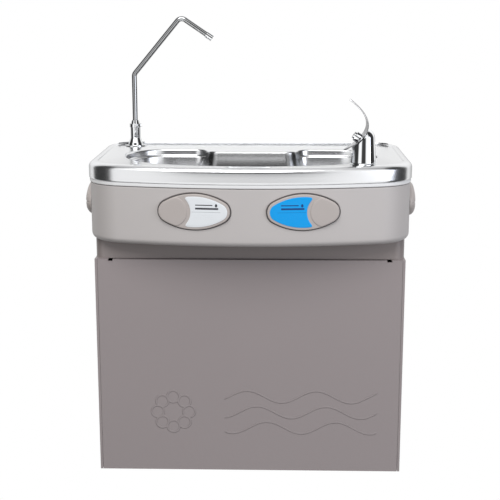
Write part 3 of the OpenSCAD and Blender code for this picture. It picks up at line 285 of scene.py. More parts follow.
# %% Sheet metal with a drawn grain
# How dark the boss's front wall is painted: a painted dark reflection in the steel's colour.
PAINTED_REFLECTION_TONE = 0.26


def drawn_steel(name, color, roughness, grain, painted_reflection_box=None):
    """Satin sheet: lines along the grain's axis, a slow cloud in the polish, and light water marks.

    The last argument, if given, is (half width, y in front, low z, high z) of a wall painted darker: a
    painted dark reflection.
    """
    f = Finish(name, color, roughness, 1.0)
    lines = f.noise(900.0, 3.0, grain)
    cloud = f.noise(14.0, 3.0)
    spots = f.cells(260.0).step(0.10, 0.02) * f.noise(30.0).step(0.55, 0.70)
    f.set("Roughness", roughness - 0.05 + 0.06 * lines + 0.05 * cloud + 0.10 * spots)
    plain = f.shade(cloud * 0.6 + lines * 0.4, 0.93, 1.05)
    # Painted dark reflection: the base colour of the boss's front wall is darkened.
    if painted_reflection_box:
        half_x, front_y, low_z, high_z = painted_reflection_box
        x, y, z = f.axes(OBJECT)
        inside = 1 - x.math("ABSOLUTE").step(half_x - 8 * MM, half_x + 8 * MM)
        wall = inside * y.step(front_y - 4 * MM, front_y) * between(z, low_z, high_z, 3 * MM)
        f.set("Base Color", f.mix(wall * 0.9, plain, [c * PAINTED_REFLECTION_TONE for c in color]))
    f.bump(lines, 0.00002, 0.35)
    return f.material


# %% Plated, turned and zinc-coated metal
def polished(name, color, roughness):
    """Plated metal: a mirror with faint wiping marks and a few dried drops."""
    f = Finish(name, color, roughness, 1.0)
    wipe = f.noise(60.0, 4.0, (1.0, 1.0, 0.25))
    drops = f.cells(340.0).step(0.09, 0.03) * f.noise(40.0).step(0.56, 0.66)
    f.set("Roughness", roughness + 0.05 * wipe.step(0.50, 0.85) + 0.12 * drops)
    f.shade(wipe, 0.97, 1.02)
    f.bump(f.noise(45.0, 2.0), 0.00004, 0.10)
    return f.material


def turned(name, color, roughness):
    """Turned metal: fine rings across the axis, dulled in patches."""
    f = Finish(name, color, roughness, 1.0)
    rings = f.noise(1500.0, 1.0, (0.03, 0.03, 1.0))
    age = f.noise(90.0, 4.0)
    f.set("Roughness", roughness - 0.04 + 0.10 * rings + 0.22 * age.step(0.45, 0.75))
    f.shade(age.step(0.35, 0.75), 1.04, 0.78)
    f.bump(rings, 0.00003, 0.4)
    return f.material


SPANGLES = 95.0


def zinc(name, color):
    """Zinc-coated sheet: angular spangles, each with the brightness of its cell's random colour."""
    f = Finish(name, color, 0.42, 0.75)
    spangle = f.node("ShaderNodeTexVoronoi", None, {"Vector": f.place(), "Scale": SPANGLES}, output=1)
    tone = f.node("ShaderNodeRGBToBW", None, {0: spangle})
    f.set("Roughness", 0.34 + 0.18 * tone)
    f.shade(tone, 0.86, 1.08)
    f.bump(f.noise(300.0, 3.0), 0.00003, 0.3)
    return f.material


# %% The metals of this fountain
BASIN_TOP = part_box("basin")[1]
# Box of the boss's front wall, whose steel colour is painted darker as a dark reflection.
BOSS_WALL = (72 * MM, BASIN_TOP.y - 107 * MM, BASIN_TOP.z - 35 * MM, BASIN_TOP.z - 6 * MM)
STEEL = drawn_steel("pressed steel", (0.64, 0.645, 0.655), 0.23, (0.03, 1.0, 1.0), BOSS_WALL)
TANK = drawn_steel("drawn tank steel", (0.60, 0.61, 0.62), 0.38, (1.0, 1.0, 0.05))
SCREWS = drawn_steel("screw steel", (0.55, 0.56, 0.58), 0.34, (1.0, 1.0, 1.0))
ALUMINIUM = drawn_steel("fin aluminium", (0.70, 0.71, 0.72), 0.36, (1.0, 1.0, 0.04))
CHROME = polished("chrome", (0.72, 0.73, 0.74), 0.03)
# The guard's satin chrome and the filler tube's chrome get darker base colours than the column's chrome:
# painted dark reflections.
SATIN_PAINTED_DARK = polished("satin chrome with painted dark reflections", (0.33, 0.33, 0.34), 0.16)
TUBE_CHROME_PAINTED_DARK = polished("tube chrome with painted dark reflections", (0.34, 0.345, 0.35), 0.04)
BRASS = turned("turned brass", (0.68, 0.48, 0.20), 0.28)
COPPER = turned("drawn copper", (0.72, 0.33, 0.20), 0.30)
ZINC = zinc("zinc sheet", (0.52, 0.53, 0.54))
print("metals made")


# %% [markdown]
# ## Plastics, paints and foam
#
# Plastic is told by its grain and paint by its orange peel. The housing and its buttons are moulded
# with a fine spark-eroded grain, and the cabinet is sheet metal with a textured stoving paint. The
# relief is far too fine for geometry, so it is a Bump node, and the same noise varies the roughness.

# %% Moulded, painted and foamed
def moulded(name, color, roughness, grain=1600.0, depth=0.00004, coat=0.0):
    """Moulded plastic: spark-eroded grain, with slow changes of tone and of gloss."""
    f = Finish(name, color, roughness, 0.0, Coat_Weight=coat, Coat_Roughness=0.12)
    fine = f.noise(grain, 2.0)
    slow = f.noise(16.0, 3.0)
    f.set("Roughness", roughness - 0.07 + 0.08 * fine + 0.09 * slow)
    f.shade(0.7 * slow + 0.3 * fine, 0.965, 1.03)
    f.bump(fine, depth, 0.35)
    return f.material


def painted(name, color, roughness=0.42, peel=420.0):
    """Stoving paint: orange peel, a fine speckle, and slow changes of tone."""
    f = Finish(name, color, roughness, 0.0, Coat_Weight=0.18, Coat_Roughness=0.25)
    orange = f.noise(peel, 2.0)
    speckle = f.noise(2600.0, 1.0)
    slow = f.noise(7.0, 4.0)
    f.set("Roughness", roughness - 0.05 + 0.07 * orange + 0.08 * slow)
    f.shade(0.5 * slow + 0.3 * speckle + 0.2 * orange, 0.95, 1.05)
    f.bump(orange * 0.7 + speckle * 0.3, 0.00009, 0.30)
    return f.material


def insulating_foam(name, color):
    """Cut rigid foam: open cells and a darker, aged skin in patches."""
    f = Finish(name, color, 0.92)
    cell = f.cells(700.0)
    age = f.noise(30.0, 4.0)
    f.shade(cell * 0.7 + age * 0.5, 0.78, 1.10)
    f.bump(cell, 0.0004, 0.8)
    return f.material


# %% The plastics and paints of this fountain
FRAME_PLASTIC = moulded("frame plastic", srgb(236, 236, 236), 0.36)
HOUSING = moulded("housing plastic", srgb(192, 187, 185), 0.46)
BUTTON = moulded("button plastic", srgb(182, 174, 170), 0.44)
BEZEL = moulded("bezel plastic", srgb(92, 88, 88), 0.42)
BLACK = moulded("black plastic", srgb(38, 38, 40), 0.48)
WHITE = moulded("white plastic", srgb(228, 228, 224), 0.40)
HOSE = moulded("hose plastic", srgb(170, 172, 175), 0.50, 600.0)
BLUE = moulded("filter plastic", srgb(48, 96, 160), 0.28, 900.0, 0.00002, 0.4)
RUBBER = moulded("black rubber", srgb(30, 30, 31), 0.78, 900.0, 0.0001)
CABINET = painted("cabinet paint", srgb(148, 139, 139))
NECK = painted("neck paint", srgb(142, 133, 131))
ENAMEL = painted("black enamel", srgb(26, 26, 28), 0.26, 160.0)
FOAM = insulating_foam("insulating foam", srgb(226, 212, 160))
print("plastics and paints made")

# %% [markdown]
# ## Outlines seen from above
#
# The basin, the sunk deck, the bowl and the housing all have the same kind of outline: a bowed front,
# rounded corners, straight sides and a straight back. It could be a curve object with bevels, but then
# two outlines wouldn't share their columns. Here an outline is a list of arcs and lines for its right
# half. Tracing it gives points and outward normals, and an outline moved in by t is just
# points - t x normals, which keeps its columns in line with all the others.

# %% Sizes read from the CAD model
WALL_GAP = -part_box("basin")[1].y
RIM_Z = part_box("basin")[1].z
HALF_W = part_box("basin")[1].x
FRONT = -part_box("basin")[0].y
BAND_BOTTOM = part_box("basin_frame")[0].z + 5.5 * MM
STRETCH_COUNTS = (44, 26, 14, 22, 10, 20, 18, 20)
BOSS_ROOT_R, BOSS_NOSE_R = 24 * MM, 18 * MM
BOSS_OUT = 28 * MM
BOSS_TURN = math.acos(1 - BOSS_OUT / (BOSS_ROOT_R + BOSS_NOSE_R))
BOSS_NOSE_X = 50 * MM
BOSS_ROOT_X = BOSS_NOSE_X + (BOSS_ROOT_R + BOSS_NOSE_R) * math.sin(BOSS_TURN)
BOSS_MEET_X = BOSS_ROOT_X - BOSS_ROOT_R * math.sin(BOSS_TURN)
print("basin mm:", round(2 * HALF_W / MM, 1), "wide,", round(FRONT / MM, 1), "from the wall to its front")


# %% Arcs, lines and half outlines
def arc(cx, cy, r, a0, a1):
    """Arc from angle a0 to a1 in degrees; one that turns clockwise bulges into the outline."""
    return "arc", (cx, cy, r, math.radians(a0), math.radians(a1))


def line(p, q):
    """Straight stretch from p to q."""
    return "line", (p, q)


def half_outline(half, front, rear, bow, front_r, rear_r, back=None):
    """Right half of an outline, anticlockwise from the middle of its bowed front.

    The corner's arc touches the bow where both centres and the touching point lie on one line.
    """
    bow_y = bow - front
    corner_x = half - front_r
    corner_y = bow_y - math.sqrt((bow - front_r) ** 2 - corner_x ** 2)
    a = math.degrees(math.asin(corner_x / (bow - front_r)))
    stops = [half - rear_r, BOSS_ROOT_X, BOSS_MEET_X, BOSS_NOSE_X, 0]
    straight = [line((x0, -rear), (x1, -rear)) for x0, x1 in zip(stops, stops[1:])]
    return [arc(0, bow_y, bow, -90, a - 90), arc(corner_x, corner_y, front_r, a - 90, 0),
            line((half, corner_y), (half, -rear - rear_r)),
            arc(half - rear_r, -rear - rear_r, rear_r, 0, 90), *(back or straight)]


# %% Tracing an outline
def segment_end(segment):
    """Y where the right half ends, on the middle plane."""
    kind, v = segment
    return v[1][1] if kind == "line" else v[1] + v[2] * math.sin(v[4])


def trace(segments):
    """Points and outward normals: each segment is sampled evenly, and the left half mirrors the right."""
    points, normals = [], []
    for (kind, v), n in zip(segments, STRETCH_COUNTS):
        t = np.arange(n) / n
        if kind == "arc":
            cx, cy, r, a0, a1 = v
            a = a0 + (a1 - a0) * t
            ray = np.stack([np.cos(a), np.sin(a)], -1)
            points.append(np.array([cx, cy]) + r * ray)
            normals.append(ray if a1 > a0 else -ray)
        else:
            p, q = np.array(v[0]), np.array(v[1])
            d = (q - p) / np.linalg.norm(q - p)
            points.append(p + (q - p) * t[:, None])
            normals.append(np.tile([d[1], -d[0]], (n, 1)))
    p, n = np.concatenate(points), np.concatenate(normals)
    end = np.array([[0.0, segment_end(segments[-1])]])
    p, n = np.concatenate([p, end]), np.concatenate([n, [[0.0, 1.0]]])
    flip = np.array([-1.0, 1.0])
    return np.concatenate([p, p[-2:0:-1] * flip]), np.concatenate([n, n[-2:0:-1] * flip])


def rows_from(outline, insets, heights):
    """Grid rows: row i is the outline moved in by insets[i], at heights[i]."""
    p, n = outline
    xy = p[None] - np.array(insets)[:, None, None] * n[None]
    z = np.broadcast_to(np.array(heights)[:, None, None], (*xy.shape[:2], 1))
    return np.concatenate([xy, z], -1)


def quarter(inset, z, r, a0, a1, n):
    """Insets and heights along an arc of the cross-section with its centre at (inset, z)."""
    a = np.radians(np.linspace(a0, a1, n))
    return (inset - r * np.cos(a)).tolist(), (z + r * np.sin(a)).tolist()


BASIN_BOW, BASIN_FRONT_R, BASIN_REAR_R = 730 * MM, 60 * MM, 44 * MM
BASIN_LINE = trace(half_outline(HALF_W, FRONT, WALL_GAP, BASIN_BOW, BASIN_FRONT_R, BASIN_REAR_R))
print("columns round the basin:", len(BASIN_LINE[0]))

# %% [markdown]
# ## The pressed basin
#
# The basin is one sheet of stainless pressed in a die: a band that folds down over the frame, a rolled
# edge, a flat rim, a deck sunk a few millimetres below it, and a two-step bowl with a boss that stands
# in from the back. Subdividing a coarse cage would round all its edges alike, while a press leaves each
# bend with its own radius. So the cross-section is a list of (move in, height) pairs, which changes over
# from the basin's outline to the deck's, to the bowl's and at last to the drain's circle.

# %% Heights and outlines of deck and bowl
ROLL_R = 8 * MM
DECK_Z = RIM_Z - 2.5 * MM
STEP_Z = DECK_Z - 10 * MM
FLOOR_Z = RIM_Z - 38 * MM
DRAIN = np.array([0.0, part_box("drain_body")[0].y / 2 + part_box("drain_body")[1].y / 2])
DRAIN_R, DRAIN_SINK = 25 * MM, 0.4 * MM
SHEET_T = 1.2 * MM
FOOT_IN, FOOT_R = 16 * MM, 8 * MM

DECK_BOW, DECK_FRONT_R, DECK_REAR_R = 480 * MM, 50 * MM, 33 * MM
DECK_LINE = trace(half_outline(HALF_W - 11 * MM, FRONT - 8 * MM, WALL_GAP + 6 * MM,
                               DECK_BOW, DECK_FRONT_R, DECK_REAR_R))
BOWL_REAR = WALL_GAP + 68 * MM
BOWL_HALF, BOWL_FRONT = HALF_W - 43 * MM, FRONT - 37 * MM
BOWL_BOW, BOWL_FRONT_R = 400 * MM, 112 * MM
bowl_corner_y = BOWL_BOW - BOWL_FRONT - math.sqrt(
    (BOWL_BOW - BOWL_FRONT_R) ** 2 - (BOWL_HALF - BOWL_FRONT_R) ** 2)
BOWL_REAR_R = -bowl_corner_y - BOWL_REAR - 3 * MM


def boss_back():
    """Back of the bowl: up to the boss, the fillet at its root, its nose, and its flat front."""
    turn = math.degrees(BOSS_TURN)
    front_y = -BOWL_REAR - BOSS_OUT
    return [line((BOWL_HALF - BOWL_REAR_R, -BOWL_REAR), (BOSS_ROOT_X, -BOWL_REAR)),
            arc(BOSS_ROOT_X, -BOWL_REAR - BOSS_ROOT_R, BOSS_ROOT_R, 90, 90 + turn),
            arc(BOSS_NOSE_X, front_y + BOSS_NOSE_R, BOSS_NOSE_R, turn - 90, -90),
            line((BOSS_NOSE_X, front_y), (0, front_y))]


BOWL_LINE = trace(half_outline(BOWL_HALF, BOWL_FRONT, BOWL_REAR, BOWL_BOW, BOWL_FRONT_R, BOWL_REAR_R,
                               boss_back()))
print("bowl columns:", len(BOWL_LINE[0]), "rear corner radius mm:", round(BOWL_REAR_R / MM, 1))


# %% Rows of the pressed sheet
def boss_share():
    """1 on the boss's columns, where the wall has no ledge, and 0 elsewhere, with a smooth step between."""
    half = np.zeros(sum(STRETCH_COUNTS) + 1)
    root = sum(STRETCH_COUNTS[:5])
    nose = sum(STRETCH_COUNTS[:6])
    t = np.linspace(0, 1, nose - root)
    half[root:nose] = t * t * (3 - 2 * t)
    half[nose:] = 1
    return np.concatenate([half, half[-2:0:-1]])


def basin_rows():
    """All the rows of the pressed sheet, from the band's hem to the drain's hole."""
    hem_z = BAND_BOTTOM + np.array([0, 0.2, 0.9, 3, 9]) * MM
    hem = rows_from(BASIN_LINE, np.array([1.0, 0.3, 0, 0, 0]) * MM, hem_z)
    roll = rows_from(BASIN_LINE, *quarter(ROLL_R, RIM_Z - ROLL_R, ROLL_R, 0, 90, 14))
    edge_in = np.array([-0.9, -0.3, 0.3, 0.9, 1.5, 2.2, 3.2, 4.6]) * MM
    edge_z = RIM_Z - np.array([0.0, 0.05, 0.35, 0.95, 1.65, 2.15, 2.42, 2.5]) * MM
    edge = rows_from(DECK_LINE, edge_in, edge_z)
    lip = rows_from(BOWL_LINE, *quarter(-2.2 * MM, DECK_Z - 3 * MM, -3 * MM, -90, -6, 8))
    ledge_in, ledge_z = quarter(3.0 * MM, STEP_Z + 1.8 * MM, 2 * MM, 0, -84, 6)
    brink_in, brink_z = quarter(5.0 * MM, STEP_Z - 2.2 * MM, -1.8 * MM, -84, -6, 6)
    wall_in, wall_z = np.array(ledge_in + brink_in), np.array(ledge_z + brink_z)
    wall = rows_from(BOWL_LINE, wall_in, wall_z)
    slope_in = np.interp(-wall_z, [3 * MM - DECK_Z, -FLOOR_Z - FOOT_R], [0.8 * MM, FOOT_IN - FOOT_R])
    plain = rows_from(BOWL_LINE, slope_in, wall_z)
    wall = wall + (plain - wall) * boss_share()[None, :, None]
    foot = rows_from(BOWL_LINE, *quarter(FOOT_IN, FLOOR_Z + FOOT_R, FOOT_R, 0, -90, 9))
    return hem, roll, edge, lip, wall, foot


def to_drain(last, steps=14):
    """Rows last x (1 - t) + circle x t, from the bowl's last row to the circle round the drain."""
    away = last[:, :2] - DRAIN
    circle = DRAIN + DRAIN_R * away / np.linalg.norm(away, axis=-1, keepdims=True)
    ring = np.concatenate([circle, np.full((len(circle), 1), FLOOR_Z - DRAIN_SINK)], -1)
    t = np.linspace(0, 1, steps)[1:, None, None]
    return last[None] * (1 - t) + ring[None] * t


hem, roll, edge, lip, wall, foot = basin_rows()
sheet_rows = np.concatenate([hem, roll, edge, lip, wall, foot, to_drain(foot[-1])])
build("pressed_basin", [shell(sheet_rows, SHEET_T)], STEEL, "cabinet", ["basin"], 60)

# %% [markdown]
# ## The frame strip
#
# A light plastic strip shows under the steel band. It is one closed section of ten points carried
# round the basin's own outline, so the gap to the band is even all the way round.

# %% Strip under the band
FRAME_LO, FRAME_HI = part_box("basin_frame")
FRAME_IN = HALF_W - FRAME_HI.x
strip_in = np.array([14, 2.0, 0.5, 0.1, 0, 0, 0.1, 0.5, 2.0, 14]) * MM + FRAME_IN
strip_z = FRAME_LO.z + np.array([0, 0, 0.1, 0.5, 1.2, 4.3, 5.0, 5.4, 5.5, 5.5]) * MM
strip = rows_from(BASIN_LINE, strip_in, strip_z)
build("basin_frame_strip", [skin(strip, wrap_rows=True)], FRAME_PLASTIC, "cabinet",
      ["basin_frame"])

# %% [markdown]
# ## The housing and its oval openings
#
# Below a thin shadow gap the warm grey housing starts: thin moulded plastic with a rounded bottom edge
# and four oval openings. A boolean cut would leave ragged shading, so the wall is left out round each
# oval and filled by a grid whose rows change over from the oval to the rectangle that was left out.
# An oval of four arcs has a true distance to every point, which the buttons need later.

# %% Oval of four arcs
OVAL_W, OVAL_H, OVAL_END_R = 103 * MM, 53 * MM, 17 * MM
END_X = OVAL_W / 2 - OVAL_END_R
END_Z = OVAL_H / 2 - OVAL_END_R
ARC_SINK = (END_X ** 2 - END_Z ** 2) / (2 * END_Z)
BIG_R = OVAL_H / 2 + ARC_SINK
ARC_ANGLE = math.atan2(ARC_SINK, END_X)


def oval(angle, inset=0.0):
    """Point whose outward normal has that angle: an end arc near the tips, a big arc elsewhere."""
    a = np.asarray(angle, float)
    c, s = np.abs(np.cos(a)), np.abs(np.sin(a))
    tip = np.arctan2(s, c) < ARC_ANGLE
    x = np.where(tip, END_X + (OVAL_END_R - inset) * c, (BIG_R - inset) * c)
    z = np.where(tip, (OVAL_END_R - inset) * s, (BIG_R - inset) * s - ARC_SINK)
    return np.stack([x * np.sign(np.cos(a)), z * np.sign(np.sin(a))], -1)


def oval_distance(p):
    """Signed distance to the oval, negative inside: to an end arc beyond its sector, else to a big arc."""
    x, z = np.abs(p[..., 0]), np.abs(p[..., 1])
    in_tip = np.arctan2(z, np.maximum(x - END_X, 1e-9)) < ARC_ANGLE
    tip = np.hypot(x - END_X, z) - OVAL_END_R
    big = np.hypot(x, z + ARC_SINK) - BIG_R
    return np.where(in_tip & (x > END_X), tip, big)


print("oval arcs meet at", round(math.degrees(ARC_ANGLE), 1), "degrees")

# %% Sizes of the housing
HOUSING_LO, HOUSING_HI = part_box("upper_housing")
HOUSING_IN = HALF_W - HOUSING_HI.x
HOUSING_R = 9 * MM
OVAL_Z = (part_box("front_left_bezel")[0].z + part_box("front_left_bezel")[1].z) / 2
OVAL_X = 74.9 * MM
SIDE_OVAL_Y = -166 * MM
PATCH_HALF = 57 * MM
PATCH_LOW, PATCH_HIGH = OVAL_Z - 34 * MM, OVAL_Z + 29.5 * MM
EDGE_R = 0.9 * MM
EDGE_DEPTH = 4 * MM
COLUMN_STEP = 2.6 * MM
print("housing stands", round(HOUSING_IN / MM, 1), "mm inside the basin's edge")


# %% The housing's wall as a surface
def dense(outline, step):
    """The outline as even steps of arc length: places, normals and the arc length of each."""
    p, n = outline
    q = np.vstack([p, p[:1]])
    s = np.concatenate([[0], np.cumsum(np.linalg.norm(np.diff(q, axis=0), axis=-1))])
    count = int(round(s[-1] / step))
    at = np.arange(count) * s[-1] / count
    m = np.vstack([n, n[:1]])
    place = np.stack([np.interp(at, s, q[:, k]) for k in (0, 1)], -1)
    normal = np.stack([np.interp(at, s, m[:, k]) for k in (0, 1)], -1)
    return place, normal / np.linalg.norm(normal, axis=-1, keepdims=True), at


WALL_P, WALL_N, WALL_S = dense(BASIN_LINE, COLUMN_STEP)


def housing_point(s, inset, z):
    """Points at arc length s, moved in by inset, at height z: a blend of the two nearest columns."""
    length = WALL_S[1] * len(WALL_S)
    f = (s % length) / WALL_S[1]
    i = np.floor(f).astype(int) % len(WALL_S)
    j, t = (i + 1) % len(WALL_S), (f - np.floor(f))[..., None]
    p = WALL_P[i] * (1 - t) + WALL_P[j] * t
    n = WALL_N[i] * (1 - t) + WALL_N[j] * t
    xy = p - np.asarray(inset)[..., None] * n
    return np.concatenate([xy, np.broadcast_to(z, s.shape)[..., None]], -1)


def wall_rows(insets, heights):
    """Rows right round the housing: row i is moved in by insets[i] and stands at heights[i]."""
    insets, heights = np.array(insets)[:, None], np.array(heights)[:, None]
    across = np.ones((1, len(WALL_S)))
    return housing_point(WALL_S[None] * np.ones_like(insets), insets * across, heights * across)


# %% Patches round the openings
def nearest_column(target):
    """Index of the wall column closest to a point seen from above."""
    return int(np.argmin(np.linalg.norm(WALL_P - np.array(target), axis=-1)))


WALL_Z = np.linspace(PATCH_LOW, PATCH_HIGH, 25)
OPENINGS = [nearest_column(t) for t in ((OVAL_X, -FRONT + 4 * MM), (HALF_W, SIDE_OVAL_Y),
                                        (-HALF_W, SIDE_OVAL_Y), (-OVAL_X, -FRONT + 4 * MM))]
PATCH_COLS = int(round(PATCH_HALF / WALL_S[1]))


def wall_patch(centre_s):
    """Grid from an opening's rounded inner edge out to the rectangle of wall columns and rows.

    Each point of the rectangle looks up the oval's point that lies in the same direction, in a table.
    """
    cols = np.arange(-PATCH_COLS, PATCH_COLS + 1) * WALL_S[1]
    low, high = WALL_Z[0] - OVAL_Z, WALL_Z[-1] - OVAL_Z
    bottom = np.stack([cols[:-1], np.full(len(cols) - 1, low)], -1)
    right = np.stack([np.full(len(WALL_Z) - 1, cols[-1]), WALL_Z[:-1] - OVAL_Z], -1)
    top = np.stack([cols[:0:-1], np.full(len(cols) - 1, high)], -1)
    left = np.stack([np.full(len(WALL_Z) - 1, cols[0]), WALL_Z[:0:-1] - OVAL_Z], -1)
    outer = np.concatenate([bottom, right, top, left])
    table = np.linspace(-math.pi, math.pi, 2001)
    shape = oval(table)
    reach = np.unwrap(np.arctan2(shape[:, 1] / OVAL_H, shape[:, 0] / OVAL_W))
    want = np.arctan2(outer[:, 1] / OVAL_H, outer[:, 0] / OVAL_W)
    angle = np.interp(want, reach, table)
    round_over = np.radians(np.linspace(0, 90, 6))
    rows = [(oval(angle), EDGE_DEPTH)]
    rows += [(oval(angle, EDGE_R * (math.cos(a) - 1)), EDGE_R * (1 - math.sin(a))) for a in round_over]
    rim = oval(angle, -EDGE_R)
    rows += [(rim * (1 - t) + outer * t, 0.0) for t in np.linspace(0, 1, 9)[1:]]
    plan = np.array([r[0] for r in rows])
    depth = np.array([r[1] for r in rows])[:, None] * np.ones(plan.shape[:2])
    return skin(housing_point(centre_s + plan[..., 0], HOUSING_IN + depth, OVAL_Z + plan[..., 1]))


# %% The whole housing
HOUSING_WALL = 2.4 * MM


def housing_parts():
    """Top edge, wall beside the openings, oval patches, rounded bottom edge and underside."""
    top_in = np.array([13, 3.0, 1.0, 0.3, 0, 0]) * MM + HOUSING_IN
    top_z = HOUSING_HI.z - np.array([0.8, 0.8, 0.8, 1.0, 1.8, 0]) * MM
    top_z[-1] = WALL_Z[-1]
    length = len(WALL_S)
    keep = np.ones(length, bool)
    for c in OPENINGS:
        keep[(c + np.arange(-PATCH_COLS, PATCH_COLS)) % length] = False
    flat = wall_rows(np.full(len(WALL_Z), HOUSING_IN), WALL_Z)
    quads = grid_quads(len(WALL_Z), length)
    beside = flat.reshape(-1, 3), quads[keep[quads[:, 0] % length]]
    patches = [wall_patch(WALL_S[c]) for c in OPENINGS]
    turn_in, turn_z = quarter(HOUSING_IN + HOUSING_R, HOUSING_LO.z + HOUSING_R, HOUSING_R, 0, -90, 12)
    low_in = [HOUSING_IN, *turn_in, 20 * MM, 27 * MM]
    low_z = [WALL_Z[0], *turn_z, HOUSING_LO.z, HOUSING_LO.z]
    return [skin(wall_rows(top_in, top_z)[::-1]), beside, *patches, skin(wall_rows(low_in, low_z)[::-1])]


housing = build("moulded_housing", housing_parts(), HOUSING, "cabinet", ["upper_housing"])
wall_thickness = housing.modifiers.new("wall", "SOLIDIFY")
wall_thickness.thickness = HOUSING_WALL
wall_thickness.offset = -1.0

# %% [markdown]
# ## The buttons and their labels
#
# A button is an oval cap that stands a little out of its opening. Its outer end carries a round pad
# that is cut off by the oval, and the rest carries a printed label with a hollow edge round the pad.
# Circles joined by hand would need a new fillet at each corner. Both outlines are star-shaped, so each
# is walked by angle instead: the reach along an angle is found by halving, on a smooth maximum of two
# signed distances, which also rounds the corners.

# %% Reach of an outline
PAD_X, PAD_R = 30 * MM, 20.6 * MM
PAD_CENTRE, LABEL_CENTRE = (-PAD_X, 0), (15 * MM, 0)
CAP_INSET, CAP_OUT = 1.7 * MM, 2.5 * MM
ANGLES = np.linspace(0, 2 * math.pi, 192, endpoint=False)


def smooth_max(a, b, k):
    """max(a, b) with the corner rounded over the width k."""
    h = np.clip(0.5 - 0.5 * (b - a) / k, 0, 1)
    return b * (1 - h) + a * h + k * h * (1 - h)


def reach(field, centre):
    """Outline points round centre where the field turns positive, one for each of ANGLES."""
    ray = np.stack([np.cos(ANGLES), np.sin(ANGLES)], -1)
    low, high = np.zeros(len(ANGLES)), np.full(len(ANGLES), 70 * MM)
    for _ in range(30):
        mid = (low + high) / 2
        inside = field(np.array(centre) + mid[:, None] * ray) < 0
        low, high = np.where(inside, mid, low), np.where(inside, high, mid)
    return np.array(centre) + low[:, None] * ray


def pad_field(p):
    """Inside the pad: within the oval by 2.6 mm and within the pad's circle."""
    ring = np.hypot(p[..., 0] + PAD_X, p[..., 1]) - PAD_R
    return smooth_max(oval_distance(p) + 2.6 * MM, ring, 1.5 * MM)


def label_field(p):
    """Inside the label: within the oval by 5.1 mm and outside a ring round the pad."""
    ring = PAD_R + 4.6 * MM - np.hypot(p[..., 0] + PAD_X, p[..., 1])
    return smooth_max(oval_distance(p) + 5.1 * MM, ring, 5.0 * MM)


PAD_LINE = reach(pad_field, PAD_CENTRE)
LABEL_LINE = reach(label_field, LABEL_CENTRE)
print("label mm:", np.round(LABEL_LINE[:, 0].min() / MM, 1), "to", np.round(LABEL_LINE[:, 0].max() / MM, 1))


# %% Raised plates, and standing them up on a wall
def raised(outline, centre, base, top, edge, steps=5, rings=6):
    """Rows (plan x, plan z, out): wall, quarter-round edge of radius edge, then flat to the centre."""
    centre = np.array(centre)
    away = outline - centre
    size = np.linalg.norm(away, axis=-1, keepdims=True)
    rows = [np.column_stack([outline, np.full(len(outline), base)])]
    for a in np.radians(np.linspace(0, 90, steps)):
        plan = centre + away * (1 - edge * (1 - math.cos(a)) / size)
        rows.append(np.column_stack([plan, np.full(len(outline), top - edge * (1 - math.sin(a)))]))
    inner = rows[-1][:, :2] - centre
    for t in np.linspace(1, 0, rings + 1)[1:]:
        rows.append(np.column_stack([centre + inner * t, np.full(len(outline), top)]))
    return np.array(rows)


def stand(rows, origin, angle, flip):
    """Plan rows stood up on a wall: x runs along the wall's tangent, z up and out along its normal."""
    along = np.array([math.cos(angle), math.sin(angle), 0.0])
    out = np.array([math.sin(angle), -math.cos(angle), 0.0])
    x = rows[..., 0:1] * flip
    return np.array(origin) + x * along + rows[..., 1:2] * np.array([0, 0, 1.0]) + rows[..., 2:3] * out


# %% [markdown]
# ## The print on the labels
#
# The labels are thin plates, white for water as it comes and blue for chilled water, printed in a
# darker ink with raised dots below. A font would need a file and lines of text, and plain marks say
# enough. They are masks in the label's own UV map, which counts metres, so they move with the button.

# %% Printed labels
DOT_PITCH = 2.6 * MM


def printed(name, paper, ink):
    """Label print in metres: a drop, two bars, a thin rule, and dots that are bumps in a square grid."""
    f = Finish(name, paper, 0.30, 0.0, Coat_Weight=0.10, Coat_Roughness=0.10, Specular_IOR_Level=0.3)
    x, z, _ = f.axes(UV)

    def box(x0, x1, z0, z1):
        """1 inside a rectangle that is given in millimetres."""
        soft = 0.15 * MM
        return between(x, x0 * MM, x1 * MM, soft) * between(z, z0 * MM, z1 * MM, soft)

    rule = box(-3, 37, -0.2, 0.2) * 0.6
    bars = box(2, 26, 9.0, 10.4) + box(2, 34, 3.6, 6.2)
    drop_x, drop_z = (x - 31 * MM) * 1.25, z - 10.4 * MM
    drop_r = (drop_x * drop_x + drop_z * drop_z).math("SQRT") + drop_z * 0.45
    drop = 1 - drop_r.step(1.7 * MM, 2.0 * MM)
    marks = (bars + drop + rule).math("MINIMUM", 1.0)
    cell = DOT_PITCH
    dot_x = (x / cell).math("FRACT") - 0.5
    dot_z = (z / cell).math("FRACT") - 0.5
    dots = 1 - (dot_x * dot_x + dot_z * dot_z).math("SQRT").step(0.14, 0.26)
    dots = dots * box(0, 31.2, -10.4, -2.6)
    f.set("Base Color", f.mix(marks, paper, ink))
    f.bump(dots - marks * 0.1, 0.25 * MM, 0.6)
    f.set("Roughness", 0.28 + 0.12 * f.noise(300.0, 2.0) + 0.1 * marks)
    return f.material


WHITE_LABEL = printed("white label print", srgb(232, 235, 238), srgb(60, 60, 66))
BLUE_LABEL = printed("blue label print", srgb(2, 160, 236), srgb(16, 60, 120))
print("label print made, dots every", round(DOT_PITCH / MM, 1), "mm")


